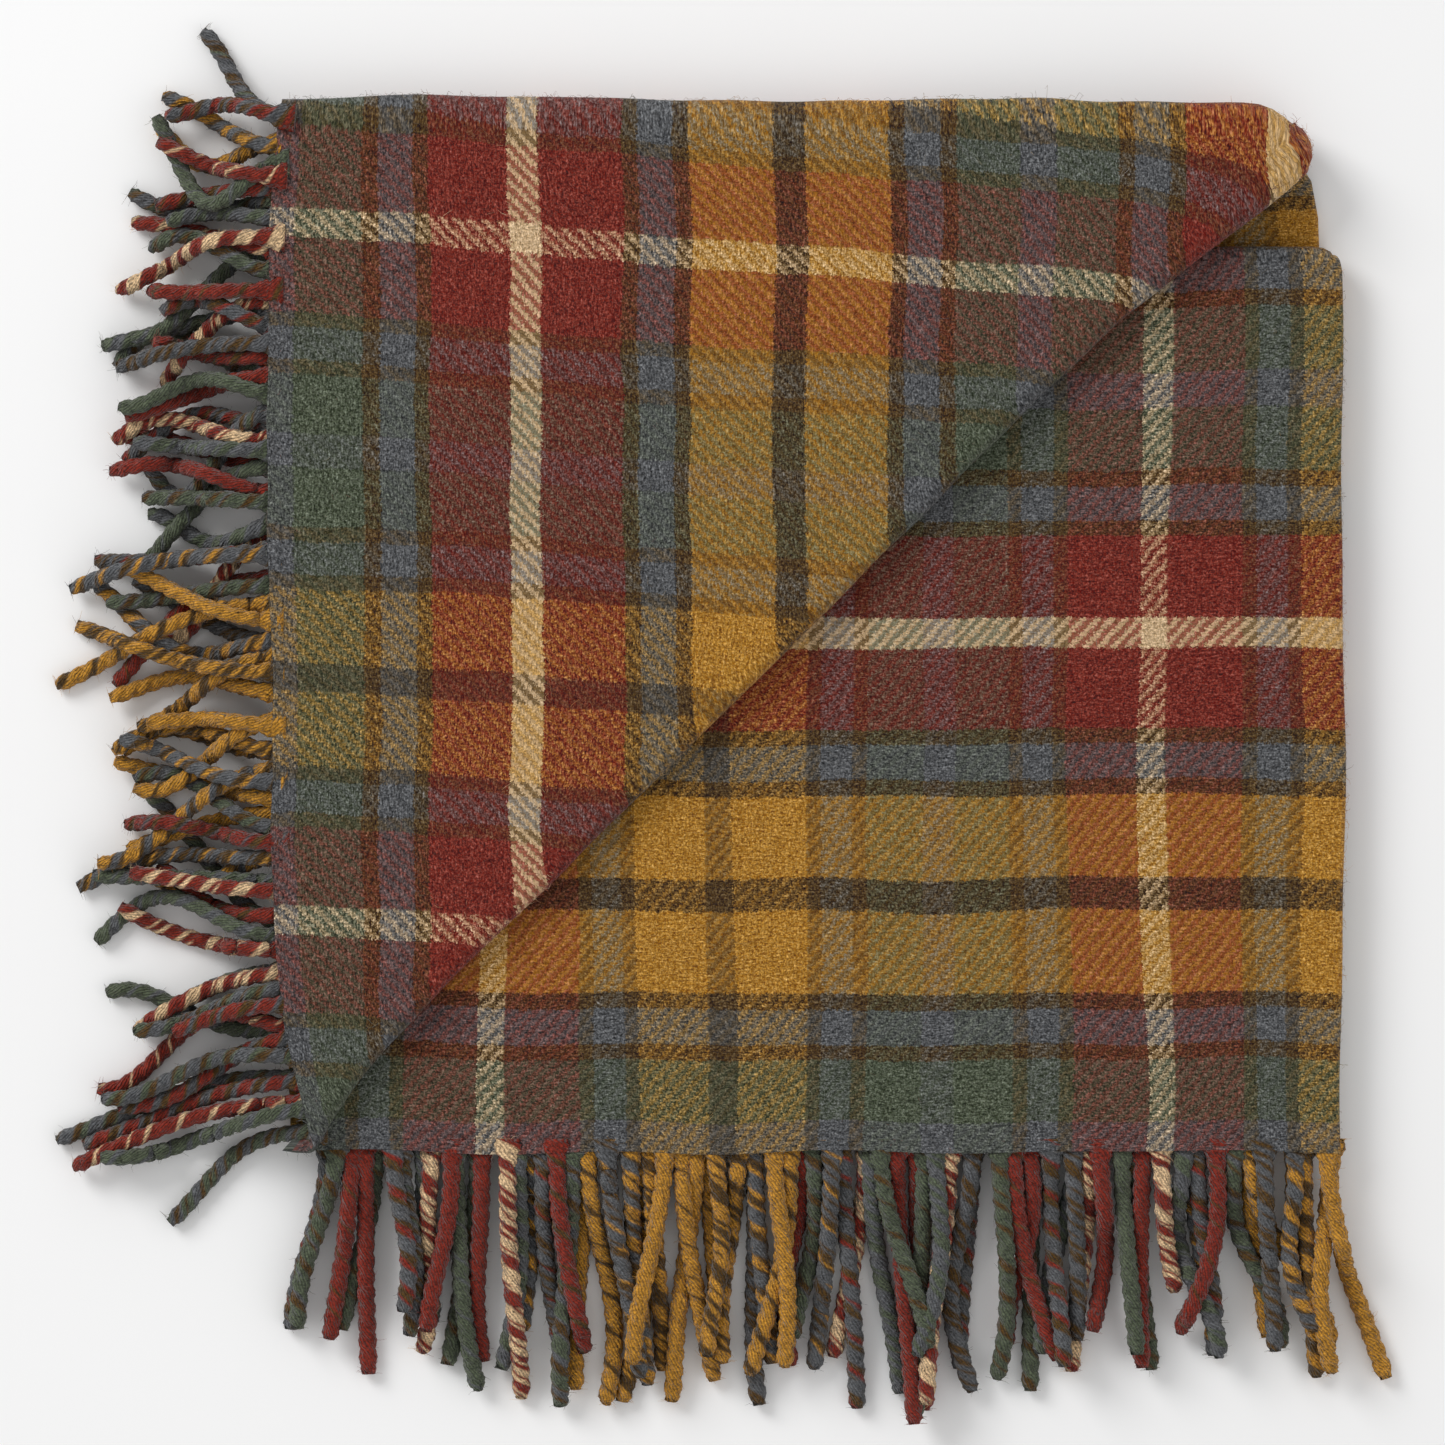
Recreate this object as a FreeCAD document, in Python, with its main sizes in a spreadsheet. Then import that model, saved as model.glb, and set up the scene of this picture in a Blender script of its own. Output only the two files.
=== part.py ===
"""Folded wool throw with twisted fringes, its top corner turned back.

The throw is one woven cloth. It is folded in four across its width, so that each leaf is four plies
thick, and then in four along its length, so that four leaves lie on each other. From the table up they
are the bottom, middle, upper and top leaf. The bottom and top leaf turn round the inner two at the back
crease. The top leaf is folded again along its diagonal, and its corner lies back on it.

Millimetres, +Z up. The origin is the middle of the bottom leaf's underside. The fringed front edge of
the pack faces -Y, and the fringe of the turned corner faces -X.
"""
import FreeCAD
import Part
import Sketcher

import math
import os

SIZES = {
    "leaf_width": ("375", "a quarter of the cloth's width"),
    "outer_leaf_length": ("363", "bottom leaf, between the middles of its two turns"),
    "inner_leaf_length": ("319", "middle leaf, between the middles of its two turns"),
    "leaf_thickness": ("5.2", "four brushed plies lying on each other"),
    "leaf_gap": ("0.3", "air between two leaves"),
    "inner_shift": ("7.5", "how far the inner leaves stand out to the right of the outer ones"),
    "corner_leg": ("360", "straight sides of the turned corner"),
    "tassel_diameter": ("5.8", "two twisted strands"),
    "tassel_length": ("82", "from the cloth's end to the tip"),
    "front_tassel_pitch": ("0.862", "from one tassel of the front fringe to the next, in diameters"),
    "corner_tassel_pitch": ("0.827", "from one tassel of the turned fringe to the next, in diameters"),
    "tassel_clearance": ("0.2", "air under the lowest tips and above the highest roots"),
    "root_step": ("0.68", "from the upper layer's roots down to the lower layer's, in diameters"),
    "tip_gap": ("0.5", "air between the tips of the two layers"),
    "front_fringe_gap": ("0.7", "air between the front edge and its tassels, which lean outwards"),
    "corner_fringe_gap": ("0.22", "air between the turned edge and its tassels, for their droop, in diameters"),
    "front_splay": ("10", "how far the last tassels of the front fringe lean out, in degrees"),
    "corner_splay": ("20", "how far the last tassels of the turned fringe lean out, in degrees"),
}

ROWS_PER_FRINGE = 4
ROW_NAMES = ("first", "second", "third", "fourth")

X_AXIS = FreeCAD.Vector(1, 0, 0)
Y_AXIS = FreeCAD.Vector(0, 1, 0)
Z_AXIS = FreeCAD.Vector(0, 0, 1)
DIAGONAL = FreeCAD.Vector(1, 1, 0) * math.sqrt(0.5)
ACROSS_DIAGONAL = FreeCAD.Vector(1, -1, 0) * math.sqrt(0.5)

doc = FreeCAD.newDocument("folded_throw")


def make_sheet():
    """The spreadsheet of driving sizes, one alias a row."""
    sheet = doc.addObject("Spreadsheet::Sheet", "Sizes")
    for row, (alias, (number, note)) in enumerate(SIZES.items(), start=1):
        sheet.set("A%d" % row, alias)
        sheet.set("B%d" % row, number)
        sheet.set("C%d" % row, note)
        sheet.setAlias("B%d" % row, alias)
    doc.recompute()
    return sheet


sheet = make_sheet()


def size(alias):
    """A driving size as a plain number."""
    return float(sheet.get(alias))


leaf_width = size("leaf_width")
leaf_thickness = size("leaf_thickness")
leaf_pitch = leaf_thickness + size("leaf_gap")
roll_radius = leaf_thickness + size("leaf_gap") / 2

left_edge = -leaf_width / 2
inner_left_edge = left_edge + size("inner_shift")
front_turn = -size("outer_leaf_length") / 2
back_turn = size("outer_leaf_length") / 2
inner_back_turn = front_turn + size("inner_leaf_length")
front_edge = front_turn - roll_radius

corner_leg = size("corner_leg")
corner_tip = FreeCAD.Vector(left_edge, back_turn - corner_leg, 0)

# Underside of each leaf, from the table up, and of the corner that lies on the top leaf.
BOTTOM, MIDDLE, UPPER, TOP, CORNER = (level * leaf_pitch for level in range(5))

nodes = []


def add_node(obj, label):
    """Names a finished sub-part, which is written to the file of that name."""
    obj.Label = label
    nodes.append(obj)
    return obj


def flat_leaf(label, corner, length_expression):
    """A rectangular leaf, its front left bottom corner at the given point."""
    leaf = doc.addObject("Part::Box", label)
    leaf.setExpression("Length", "Sizes.leaf_width")
    leaf.setExpression("Width", length_expression)
    leaf.setExpression("Height", "Sizes.leaf_thickness")
    leaf.Placement.Base = corner
    return add_node(leaf, label)


def corner_leaf(label, corner, leg_expression):
    """A right-angled triangular leaf whose long side runs up the diagonal from the given tip."""
    body = doc.addObject("PartDesign::Body", label)
    sketch = body.newObject("Sketcher::SketchObject", label + "_outline")
    plane = [item for item in body.Origin.OriginFeatures if item.Role == "XY_Plane"][0]
    sketch.AttachmentSupport = [(plane, "")]
    sketch.MapMode = "FlatFace"
    tip = FreeCAD.Vector(0, 0, 0)
    back_left = FreeCAD.Vector(0, corner_leg, 0)
    back_right = FreeCAD.Vector(corner_leg, corner_leg, 0)
    side = sketch.addGeometry(Part.LineSegment(tip, back_left))
    back = sketch.addGeometry(Part.LineSegment(back_left, back_right))
    diagonal = sketch.addGeometry(Part.LineSegment(back_right, tip))
    sketch.addConstraint(Sketcher.Constraint("Coincident", side, 2, back, 1))
    sketch.addConstraint(Sketcher.Constraint("Coincident", back, 2, diagonal, 1))
    sketch.addConstraint(Sketcher.Constraint("Coincident", diagonal, 2, side, 1))
    sketch.addConstraint(Sketcher.Constraint("Coincident", side, 1, -1, 1))
    sketch.addConstraint(Sketcher.Constraint("Vertical", side))
    sketch.addConstraint(Sketcher.Constraint("Horizontal", back))
    sketch.addConstraint(Sketcher.Constraint("DistanceY", side, 1, side, 2, corner_leg))
    sketch.renameConstraint(6, "side_leg")
    sketch.addConstraint(Sketcher.Constraint("DistanceX", back, 1, back, 2, corner_leg))
    sketch.renameConstraint(7, "back_leg")
    sketch.setExpression("Constraints.side_leg", leg_expression)
    sketch.setExpression("Constraints.back_leg", leg_expression)
    pad = body.newObject("PartDesign::Pad", label + "_pad")
    pad.Profile = sketch
    pad.setExpression("Length", "Sizes.leaf_thickness")
    sketch.Visibility = False
    body.Placement.Base = corner
    return add_node(body, label)


def half_round(name, start, along, bulge, radius_expression, length):
    """A half cylinder from the start point along one direction, its round side towards the bulge."""
    roll = doc.addObject("Part::Cylinder", name)
    roll.setExpression("Radius", radius_expression)
    roll.Height = length
    roll.Angle = 180
    roll.Placement = FreeCAD.Placement(start, FreeCAD.Rotation(bulge.cross(along), bulge, along, "ZYX"))
    return roll


def front_turn_roll():
    """The turn at the front, where the bottom leaf comes back as the middle leaf."""
    start = FreeCAD.Vector(inner_left_edge, front_turn, roll_radius)
    length = leaf_width - size("inner_shift")
    roll = half_round("front_turn", start, X_AXIS, -Y_AXIS, "Sizes.leaf_thickness + Sizes.leaf_gap / 2", length)
    return add_node(roll, "front_turn")


def inner_back_turn_roll():
    """The tight turn at the back, where the middle leaf comes forward as the upper leaf."""
    start = FreeCAD.Vector(inner_left_edge, inner_back_turn, MIDDLE + roll_radius)
    roll = half_round("inner_back_turn", start, X_AXIS, Y_AXIS,
                      "Sizes.leaf_thickness + Sizes.leaf_gap / 2", leaf_width)
    return add_node(roll, "inner_back_turn")


def outer_back_turn_roll():
    """The wide turn at the back, an open half ring from the bottom leaf up to the top leaf."""
    start = FreeCAD.Vector(left_edge, back_turn, (TOP + leaf_thickness) / 2)
    outside = half_round("outer_back_turn_outside", start, X_AXIS, Y_AXIS,
                         "2 * Sizes.leaf_thickness + 1.5 * Sizes.leaf_gap", leaf_width)
    inside = doc.addObject("Part::Cylinder", "outer_back_turn_inside")
    inside.setExpression("Radius", "Sizes.leaf_thickness + 1.5 * Sizes.leaf_gap")
    inside.Height = leaf_width
    inside.Placement = outside.Placement
    ring = doc.addObject("Part::Cut", "outer_back_turn")
    ring.Base = outside
    ring.Tool = inside
    return add_node(ring, "outer_back_turn")


def corner_turn_roll():
    """The roll along the diagonal, where the top leaf comes back as the turned corner."""
    start = corner_tip + Z_AXIS * (TOP + roll_radius)
    length = (corner_leg - size("leaf_gap")) * math.sqrt(2)
    roll = half_round("corner_turn", start, DIAGONAL, ACROSS_DIAGONAL,
                      "Sizes.leaf_thickness + Sizes.leaf_gap / 2", length)
    return add_node(roll, "corner_turn")


def tassel(name, root, direction):
    """One twisted tassel as a plain round bar from its root."""
    bar = doc.addObject("Part::Cylinder", name)
    bar.setExpression("Radius", "Sizes.tassel_diameter / 2")
    bar.setExpression("Height", "Sizes.tassel_length")
    bar.Placement = FreeCAD.Placement(root, FreeCAD.Rotation(Z_AXIS, direction))
    return bar


def root_heights(leaf_underside):
    """Middle of the roots of the upper and the lower layer of tassels on a leaf."""
    upper_root = leaf_underside + leaf_thickness - size("tassel_diameter") / 2 - size("tassel_clearance")
    return (upper_root, upper_root - size("root_step") * size("tassel_diameter"))


def tip_heights():
    """Middle of the tips of the upper and the lower layer of tassels, just clear of the table."""
    lower_tip = size("tassel_diameter") / 2 + size("tassel_clearance")
    return (lower_tip + size("tassel_diameter") + size("tip_gap"), lower_tip)


def fringe(label, edge_start, edge_direction, edge_length, outward, leaf_underside):
    """The tassels along one end of the cloth, a node for each ply's row.

    Tassels of the upper two plies lie in the upper layer, and those of the lower two between and below
    them. The lean outwards grows with the cube of the distance from the middle, so neighbours spread.
    There are as many tassels as the edge has room for, so a longer edge or thinner tassels give more.
    """
    splay = size("%s_splay" % label)
    count = round(edge_length / (size("%s_tassel_pitch" % label) * size("tassel_diameter")))
    pitch = edge_length / count
    roots = root_heights(leaf_underside)
    tips = tip_heights()
    rows = [[] for _ in range(ROWS_PER_FRINGE)]
    for number in range(count):
        layer = number % 2
        row = number % ROWS_PER_FRINGE
        along = (number + 0.5) * pitch
        lean = math.radians(splay * (2 * along / edge_length - 1) ** 3)
        drop = math.asin((roots[layer] - tips[layer]) / size("tassel_length"))
        level = outward * math.cos(lean) + edge_direction * math.sin(lean)
        direction = level * math.cos(drop) - Z_AXIS * math.sin(drop)
        root = edge_start + edge_direction * along + Z_AXIS * roots[layer]
        rows[row].append(tassel("%s_fringe_tassel_%d" % (label, number + 1), root, direction))
    for name, bars in zip(ROW_NAMES, rows):
        group = doc.addObject("Part::Compound", "%s_fringe_%s_row" % (label, name))
        group.Links = bars
        add_node(group, group.Name)


def front_fringe():
    """The fringe on the front edge of the upper leaf."""
    start = FreeCAD.Vector(inner_left_edge, front_edge - size("front_fringe_gap"), 0)
    fringe("front", start, X_AXIS, leaf_width, -Y_AXIS, UPPER)


def corner_fringe():
    """The fringe on the left edge of the turned corner, which hangs down beside the pack."""
    gap = size("corner_fringe_gap") * size("tassel_diameter")
    start = FreeCAD.Vector(left_edge - gap, corner_tip.y, 0)
    edge_length = corner_leg - size("leaf_gap")
    fringe("corner", start, Y_AXIS, edge_length, -X_AXIS, CORNER)


flat_leaf("bottom_leaf", FreeCAD.Vector(left_edge, front_turn, BOTTOM), "Sizes.outer_leaf_length")
flat_leaf("middle_leaf", FreeCAD.Vector(inner_left_edge, front_turn, MIDDLE), "Sizes.inner_leaf_length")
flat_leaf("upper_leaf", FreeCAD.Vector(inner_left_edge, front_edge, UPPER),
          "Sizes.inner_leaf_length + Sizes.leaf_thickness + Sizes.leaf_gap / 2")
corner_leaf("top_leaf", corner_tip + Z_AXIS * TOP, "Sizes.corner_leg")
corner_leaf("turned_corner", corner_tip + Z_AXIS * CORNER, "Sizes.corner_leg - Sizes.leaf_gap")
front_turn_roll()
inner_back_turn_roll()
outer_back_turn_roll()
corner_turn_roll()
front_fringe()
corner_fringe()

doc.recompute()

for item in doc.Objects:
    if "Invalid" in item.State or "Error" in item.State:
        raise RuntimeError("%s did not recompute: %s" % (item.Name, item.State))
for node in nodes:
    if node.Shape.isNull() or not node.Shape.isValid() or node.Shape.Volume <= 0:
        raise RuntimeError("%s has no valid solid" % node.Label)

os.makedirs("parts", exist_ok=True)
for node in nodes:
    node.Shape.exportStep("parts/%s.step" % node.Label)
    print("%-28s %3d solids %10.1f mm3" % (node.Label, len(node.Shape.Solids), node.Shape.Volume))
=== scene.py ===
"""Folded wool throw in a check twill, its fringed top corner turned back along the diagonal.

One cloth runs through the whole pack. It is folded in four across its width and in four along its
length, and the corner of the top leaf is folded again along its diagonal.
"""

import logging
import math
from dataclasses import dataclass, field
from enum import Enum

import bpy
import numpy as np
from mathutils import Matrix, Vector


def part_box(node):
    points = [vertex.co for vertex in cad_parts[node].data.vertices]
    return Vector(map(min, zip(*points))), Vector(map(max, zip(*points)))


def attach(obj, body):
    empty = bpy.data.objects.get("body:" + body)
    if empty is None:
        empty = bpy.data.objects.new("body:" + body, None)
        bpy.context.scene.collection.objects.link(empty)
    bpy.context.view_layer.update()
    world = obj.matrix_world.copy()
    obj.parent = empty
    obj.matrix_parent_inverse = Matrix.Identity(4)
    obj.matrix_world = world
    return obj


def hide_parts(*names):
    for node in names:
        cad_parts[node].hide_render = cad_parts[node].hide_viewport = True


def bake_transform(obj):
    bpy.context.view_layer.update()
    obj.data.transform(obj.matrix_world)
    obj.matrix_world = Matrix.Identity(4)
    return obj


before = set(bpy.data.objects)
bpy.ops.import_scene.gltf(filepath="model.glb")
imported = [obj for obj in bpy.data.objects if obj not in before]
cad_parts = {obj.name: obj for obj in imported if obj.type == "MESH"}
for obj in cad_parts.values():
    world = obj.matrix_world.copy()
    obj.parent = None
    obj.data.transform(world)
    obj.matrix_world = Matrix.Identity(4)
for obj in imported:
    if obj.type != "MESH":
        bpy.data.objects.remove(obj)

LOG = logging.getLogger("folded_throw")
MM = 0.001
DISPLAY_GAMMA = 2.2
# Pale tints mixed into the wool as painted sheen: the first where curly loose fibres lie on the cloth and
# tassels, the second over the fibres that stand off them.
CURL_SHEEN_TINT = (0.42, 0.36, 0.28, 1.0)
FIBRE_SHEEN_TINT = (0.62, 0.56, 0.47, 1.0)
LAYING_CELL = 1.5 * MM
LAYING_ORIGIN = (-0.32, -0.32)
LAYING_CELLS = (430, 400)


class Yarn(Enum):
    """The dyed yarns of the check, each with its own colour as linear red, green and blue."""

    RED = (0.200, 0.0198, 0.0100)
    CREAM = (0.700, 0.487, 0.278)
    MUSTARD = (0.470, 0.222, 0.025)
    GREEN = (0.081, 0.099, 0.061)
    SLATE = (0.102, 0.106, 0.113)
    BROWN = (0.083, 0.042, 0.0085)


@dataclass(frozen=True)
class Sett:
    """The repeat of the check, as counts of threads from the middle of the cream line."""

    stripes: tuple = (
        (Yarn.CREAM, 4), (Yarn.RED, 21),
        (Yarn.BROWN, 4), (Yarn.SLATE, 9), (Yarn.BROWN, 4),
        (Yarn.MUSTARD, 21), (Yarn.BROWN, 8), (Yarn.MUSTARD, 21),
        (Yarn.BROWN, 4), (Yarn.SLATE, 9), (Yarn.BROWN, 4),
        (Yarn.GREEN, 16), (Yarn.SLATE, 9), (Yarn.GREEN, 16),
        (Yarn.BROWN, 4), (Yarn.SLATE, 9), (Yarn.BROWN, 4),
        (Yarn.RED, 21), (Yarn.CREAM, 4),
    )
    warp_repeat: float = 241.5 * MM
    weft_repeat: float = 270.0 * MM
    warp_cream: float = 66.0 * MM
    front_cream: float = 187.0 * MM
    corner_cream: float = 90.0 * MM

    @property
    def threads(self) -> int:
        """Threads in one repeat."""
        return sum(count for _, count in self.stripes)

    def warp_yarn(self, u: float) -> Yarn:
        """The lengthways yarn at a place across the cloth.

        Args:
            u: Distance from the first selvedge in metres.

        Returns:
            The yarn of the stripe that holds that place.
        """
        thread = ((u - self.warp_cream) / self.warp_repeat % 1.0) * self.threads
        passed = 0
        for yarn, count in self.stripes:
            passed += count
            if thread < passed:
                return yarn
        return Yarn.CREAM


@dataclass(frozen=True)
class Run:
    """A straight stretch of a fold path."""

    length: float


@dataclass(frozen=True)
class Turn:
    """A half turn of a fold path, to the left or to the right of its heading."""

    radius: float
    left: bool

    @property
    def length(self) -> float:
        """Length of the half turn."""
        return math.pi * self.radius


@dataclass(frozen=True)
class FoldPath:
    """A cloth seen edge on, as straight runs joined by half turns in a plane."""

    start: tuple
    pieces: tuple

    @property
    def length(self) -> float:
        """Length of the whole path."""
        return sum(piece.length for piece in self.pieces)

    def reach(self, count: int) -> float:
        """Length of the first few pieces."""
        return sum(piece.length for piece in self.pieces[:count])

    def place(self, distance: np.ndarray, lift: np.ndarray) -> tuple:
        """Where points of the cloth lie in the plane of the path.

        Args:
            distance: Distance along the path.
            lift: Distance from the path, on the left of its heading.

        Returns:
            The two coordinates of each point.
        """
        distance, lift = np.broadcast_arrays(np.asarray(distance, float), np.asarray(lift, float))
        across = np.zeros_like(distance)
        height = np.zeros_like(distance)
        x, y = self.start
        heading = 0.0
        passed = 0.0
        for number, piece in enumerate(self.pieces):
            last = number == len(self.pieces) - 1
            here = distance >= passed
            if not last:
                here &= distance < passed + piece.length
            if number == 0:
                here |= distance < 0
            along = distance[here] - passed
            off = lift[here]
            ahead = np.array((math.cos(heading), math.sin(heading)))
            left = np.array((-ahead[1], ahead[0]))
            if isinstance(piece, Run):
                across[here] = x + along * ahead[0] + off * left[0]
                height[here] = y + along * ahead[1] + off * left[1]
                x += piece.length * ahead[0]
                y += piece.length * ahead[1]
            else:
                side = 1.0 if piece.left else -1.0
                centre = np.array((x, y)) + side * piece.radius * left
                angle = side * along / piece.radius
                radius = piece.radius - side * off
                spoke_x = np.cos(angle) * left[0] - np.sin(angle) * left[1]
                spoke_y = np.sin(angle) * left[0] + np.cos(angle) * left[1]
                across[here] = centre[0] - side * radius * spoke_x
                height[here] = centre[1] - side * radius * spoke_y
                x, y = centre + side * piece.radius * left
                heading += side * math.pi
            passed += piece.length
        return across, height


@dataclass(frozen=True)
class Layout:
    """Places of the leaves and turns, read from the frame.

    Heights are those of the middles of the leaves.
    """

    outer_left: float
    outer_right: float
    inner_left: float
    inner_right: float
    front_edge: float
    front_turn: float
    inner_back_turn: float
    outer_back_turn: float
    thickness: float
    bottom: float
    middle: float
    upper: float
    top: float
    turned: float
    diagonal: float
    corner_edge: float
    corner_tip: float

    @classmethod
    def from_frame(cls) -> "Layout":
        """Reads the leaves' boxes from the frame.

        Returns:
            The layout.
        """
        boxes = {name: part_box(name) for name in
                 ("bottom_leaf", "middle_leaf", "upper_leaf", "top_leaf", "turned_corner")}
        heights = {name: (low[2] + high[2]) / 2 for name, (low, high) in boxes.items()}
        bottom_low, bottom_high = boxes["bottom_leaf"]
        middle_low, middle_high = boxes["middle_leaf"]
        top_low, _ = boxes["top_leaf"]
        return cls(
            outer_left=bottom_low[0], outer_right=bottom_high[0],
            inner_left=middle_low[0], inner_right=middle_high[0],
            front_edge=boxes["upper_leaf"][0][1], front_turn=bottom_low[1],
            inner_back_turn=middle_high[1], outer_back_turn=bottom_high[1],
            thickness=bottom_high[2] - bottom_low[2],
            bottom=heights["bottom_leaf"], middle=heights["middle_leaf"], upper=heights["upper_leaf"],
            top=heights["top_leaf"], turned=heights["turned_corner"],
            diagonal=top_low[1] - top_low[0], corner_edge=top_low[0], corner_tip=top_low[1])


PLIES = 4


@dataclass(frozen=True)
class WidthFolds:
    """The cloth's width folded in four, from the first selvedge on the left of the top ply.

    The path runs right along the top ply, back left along the lowest, right again and then left.
    """

    layout: Layout

    @property
    def pitch(self) -> float:
        """Height from one ply to the next."""
        return self.layout.thickness / PLIES

    @property
    def width(self) -> float:
        """Width of the folded leaf."""
        return self.layout.outer_right - self.layout.outer_left

    @property
    def path(self) -> FoldPath:
        """The fold path, its coordinates from the leaf's left edge and from the leaf's middle."""
        outer = 1.5 * self.pitch
        inner = 0.5 * self.pitch
        straight = self.width - outer
        return FoldPath((0.0, outer), (
            Run(straight), Turn(outer, False), Run(straight - inner), Turn(inner, False),
            Run(straight - inner), Turn(inner, True), Run(straight)))

    def station(self, ply: int, across: np.ndarray) -> np.ndarray:
        """Cloth coordinate of a place on one ply.

        Args:
            ply: Number of the ply along the path, 0 for the top one.
            across: Distance from the leaf's left edge.

        Returns:
            Distance from the first selvedge.
        """
        path = self.path
        start = path.reach(2 * ply)
        inner = 0.5 * self.pitch
        straight = self.width - 1.5 * self.pitch
        if ply == 0:
            return start + across
        if ply == 2:
            return start + across - inner
        return start + straight - across


@dataclass(frozen=True)
class LengthFolds:
    """The folded strip folded in four along its length, from the front edge of the upper leaf.

    The roll along the diagonal swells and bulges out over the last stretch before the back right corner.
    """

    layout: Layout
    flare_start: float = 150.0 * MM
    flare_end: float = 255.0 * MM
    flare_swell: float = 0.55
    flare_drop: float = 15.0 * MM
    flare_width: float = 80.0 * MM
    rim_inset: float = 2.0 * MM

    @property
    def path(self) -> FoldPath:
        """The fold path, its coordinates the pack's Y and Z."""
        place = self.layout
        return FoldPath((place.front_edge, place.upper), (
            Run(place.inner_back_turn - place.front_edge), Turn((place.upper - place.middle) / 2, False),
            Run(place.inner_back_turn - place.front_turn), Turn((place.middle - place.bottom) / 2, True),
            Run(place.outer_back_turn - place.front_turn)))

    @property
    def back_radius(self) -> float:
        """Radius of the outer turn at the back."""
        return (self.layout.top - self.layout.bottom) / 2

    @property
    def corner_radius(self) -> float:
        """Radius of the roll along the diagonal."""
        return (self.layout.turned - self.layout.top) / 2

    def inner_strip(self, across: np.ndarray, height: np.ndarray, s: np.ndarray) -> np.ndarray:
        """Places points of the upper, middle and bottom leaf.

        Args:
            across: Distance from the strip's left edge.
            height: Height from the strip's middle.
            s: Distance from the front end of the cloth.

        Returns:
            Points in the pack's frame, in the last axis.
        """
        place = self.layout
        y, z = self.path.place(s, height)
        shift = blend_step(s, self.path.reach(3), self.path.reach(4))
        left = place.inner_left + (place.outer_left - place.inner_left) * shift
        return np.stack((left + across, y, z), axis=-1)

    def outer_strip(self, across: np.ndarray, height: np.ndarray, back: np.ndarray) -> np.ndarray:
        """Places points of the outer back turn, the top leaf and the turned corner.

        The strip is first folded along the diagonal as it would lie flat, and then laid over the turn.

        Args:
            across: Distance from the strip's left edge.
            height: Height from the strip's middle, on the side that faces down in the top leaf.
            back: Y of the point on the top leaf, if the strip ran on straight over the back turn.

        Returns:
            Points in the pack's frame, in the last axis.
        """
        place = self.layout
        x = place.outer_left + across
        lift = -height
        along = (x + back) / math.sqrt(2)
        flare = blend_step(along, self.flare_start, self.flare_end)
        radius = self.corner_radius * (1.0 + self.flare_swell * flare)
        beyond = (x - back + place.diagonal) / math.sqrt(2)
        angle = np.clip(beyond / radius, 0.0, math.pi)
        past = np.maximum(beyond - math.pi * radius, 0.0)
        folded = np.where(beyond > 0, (radius - lift) * np.sin(angle) - past, beyond)
        rise = np.where(beyond > 0, radius - (radius - lift) * np.cos(angle), lift)
        x = x + (folded - beyond) / math.sqrt(2)
        flat_y = back - (folded - beyond) / math.sqrt(2)
        rim = place.outer_right + place.diagonal - math.pi * self.corner_radius / math.sqrt(2)
        rim -= self.rim_inset
        reach = np.maximum(rim - x - 1.5 * MM, 5 * MM)
        drop = self.flare_drop * blend_step(x, place.outer_right - self.flare_width, place.outer_right)
        flat_y = flat_y - drop * np.clip((rim - flat_y) / reach, 0.0, 1.0)
        around = np.maximum(flat_y - place.outer_back_turn, 0.0) / self.back_radius
        reach = self.back_radius + rise
        y = np.where(around > 0, place.outer_back_turn + reach * np.sin(around), flat_y)
        z = np.where(around > 0, place.top - self.back_radius + reach * np.cos(around), place.top + rise)
        return np.stack((x, y, z), axis=-1)


@dataclass(frozen=True)
class Skew:
    """How far the stripes of the turned corner are dragged along its fringed edge.

    The drag is greatest at the fringe and grows with the distance from the corner's tip.
    """

    start: float = 11.0 * MM
    growth: float = 0.052
    fade: float = 0.0515
    fade_growth: float = 0.08

    def drag(self, along: np.ndarray, inward: np.ndarray) -> np.ndarray:
        """Distance that the stripes are dragged.

        Args:
            along: Distance along the fringed edge from the corner's tip.
            inward: Distance from the fringed edge.

        Returns:
            The drag in metres.
        """
        at_edge = self.start + self.growth * along
        return at_edge - (self.fade + self.fade_growth * along) * inward


def blend_step(value: np.ndarray, start: float, end: float) -> np.ndarray:
    """A smooth step from 0 before the start to 1 after the end."""
    part = np.clip((value - start) / (end - start), 0.0, 1.0)
    return part * part * (3 - 2 * part)


def ripple(x: np.ndarray, y: np.ndarray, span: float, seed: int, waves: int = 7) -> np.ndarray:
    """A smooth uneven field, from about -1 to 1, as a sum of waves.

    Args:
        x: First coordinate in metres.
        y: Second coordinate in metres.
        span: Typical distance from crest to crest.
        seed: Which field.
        waves: How many waves are added up.

    Returns:
        The field at each point.
    """
    chance = np.random.default_rng(seed)
    total = np.zeros_like(np.asarray(x, float))
    for _ in range(waves):
        heading = chance.uniform(0, 2 * math.pi)
        length = span * chance.uniform(0.6, 1.9)
        phase = chance.uniform(0, 2 * math.pi)
        total += np.sin(2 * math.pi * (x * math.cos(heading) + y * math.sin(heading)) / length + phase)
    return total / math.sqrt(waves)


@dataclass(frozen=True)
class Bow:
    """How far the left edge of the outer leaf strays from a straight line, in pairs of Y and the stray."""

    places: tuple = (
        (-185 * MM, 12 * MM), (-178 * MM, 10 * MM), (-160 * MM, 4.5 * MM), (-140 * MM, 0.8 * MM),
        (-120 * MM, -1.2 * MM), (-70 * MM, -3.4 * MM), (-20 * MM, -4.9 * MM), (30 * MM, -5.8 * MM),
        (80 * MM, -6.0 * MM), (130 * MM, -5.4 * MM), (165 * MM, -4.2 * MM), (190 * MM, -1.0 * MM))
    reach: float = 38.0 * MM

    def at(self, y: np.ndarray) -> np.ndarray:
        """The stray of the edge, to the right, at a Y."""
        return np.interp(y, [place[0] for place in self.places], [place[1] for place in self.places])


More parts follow.
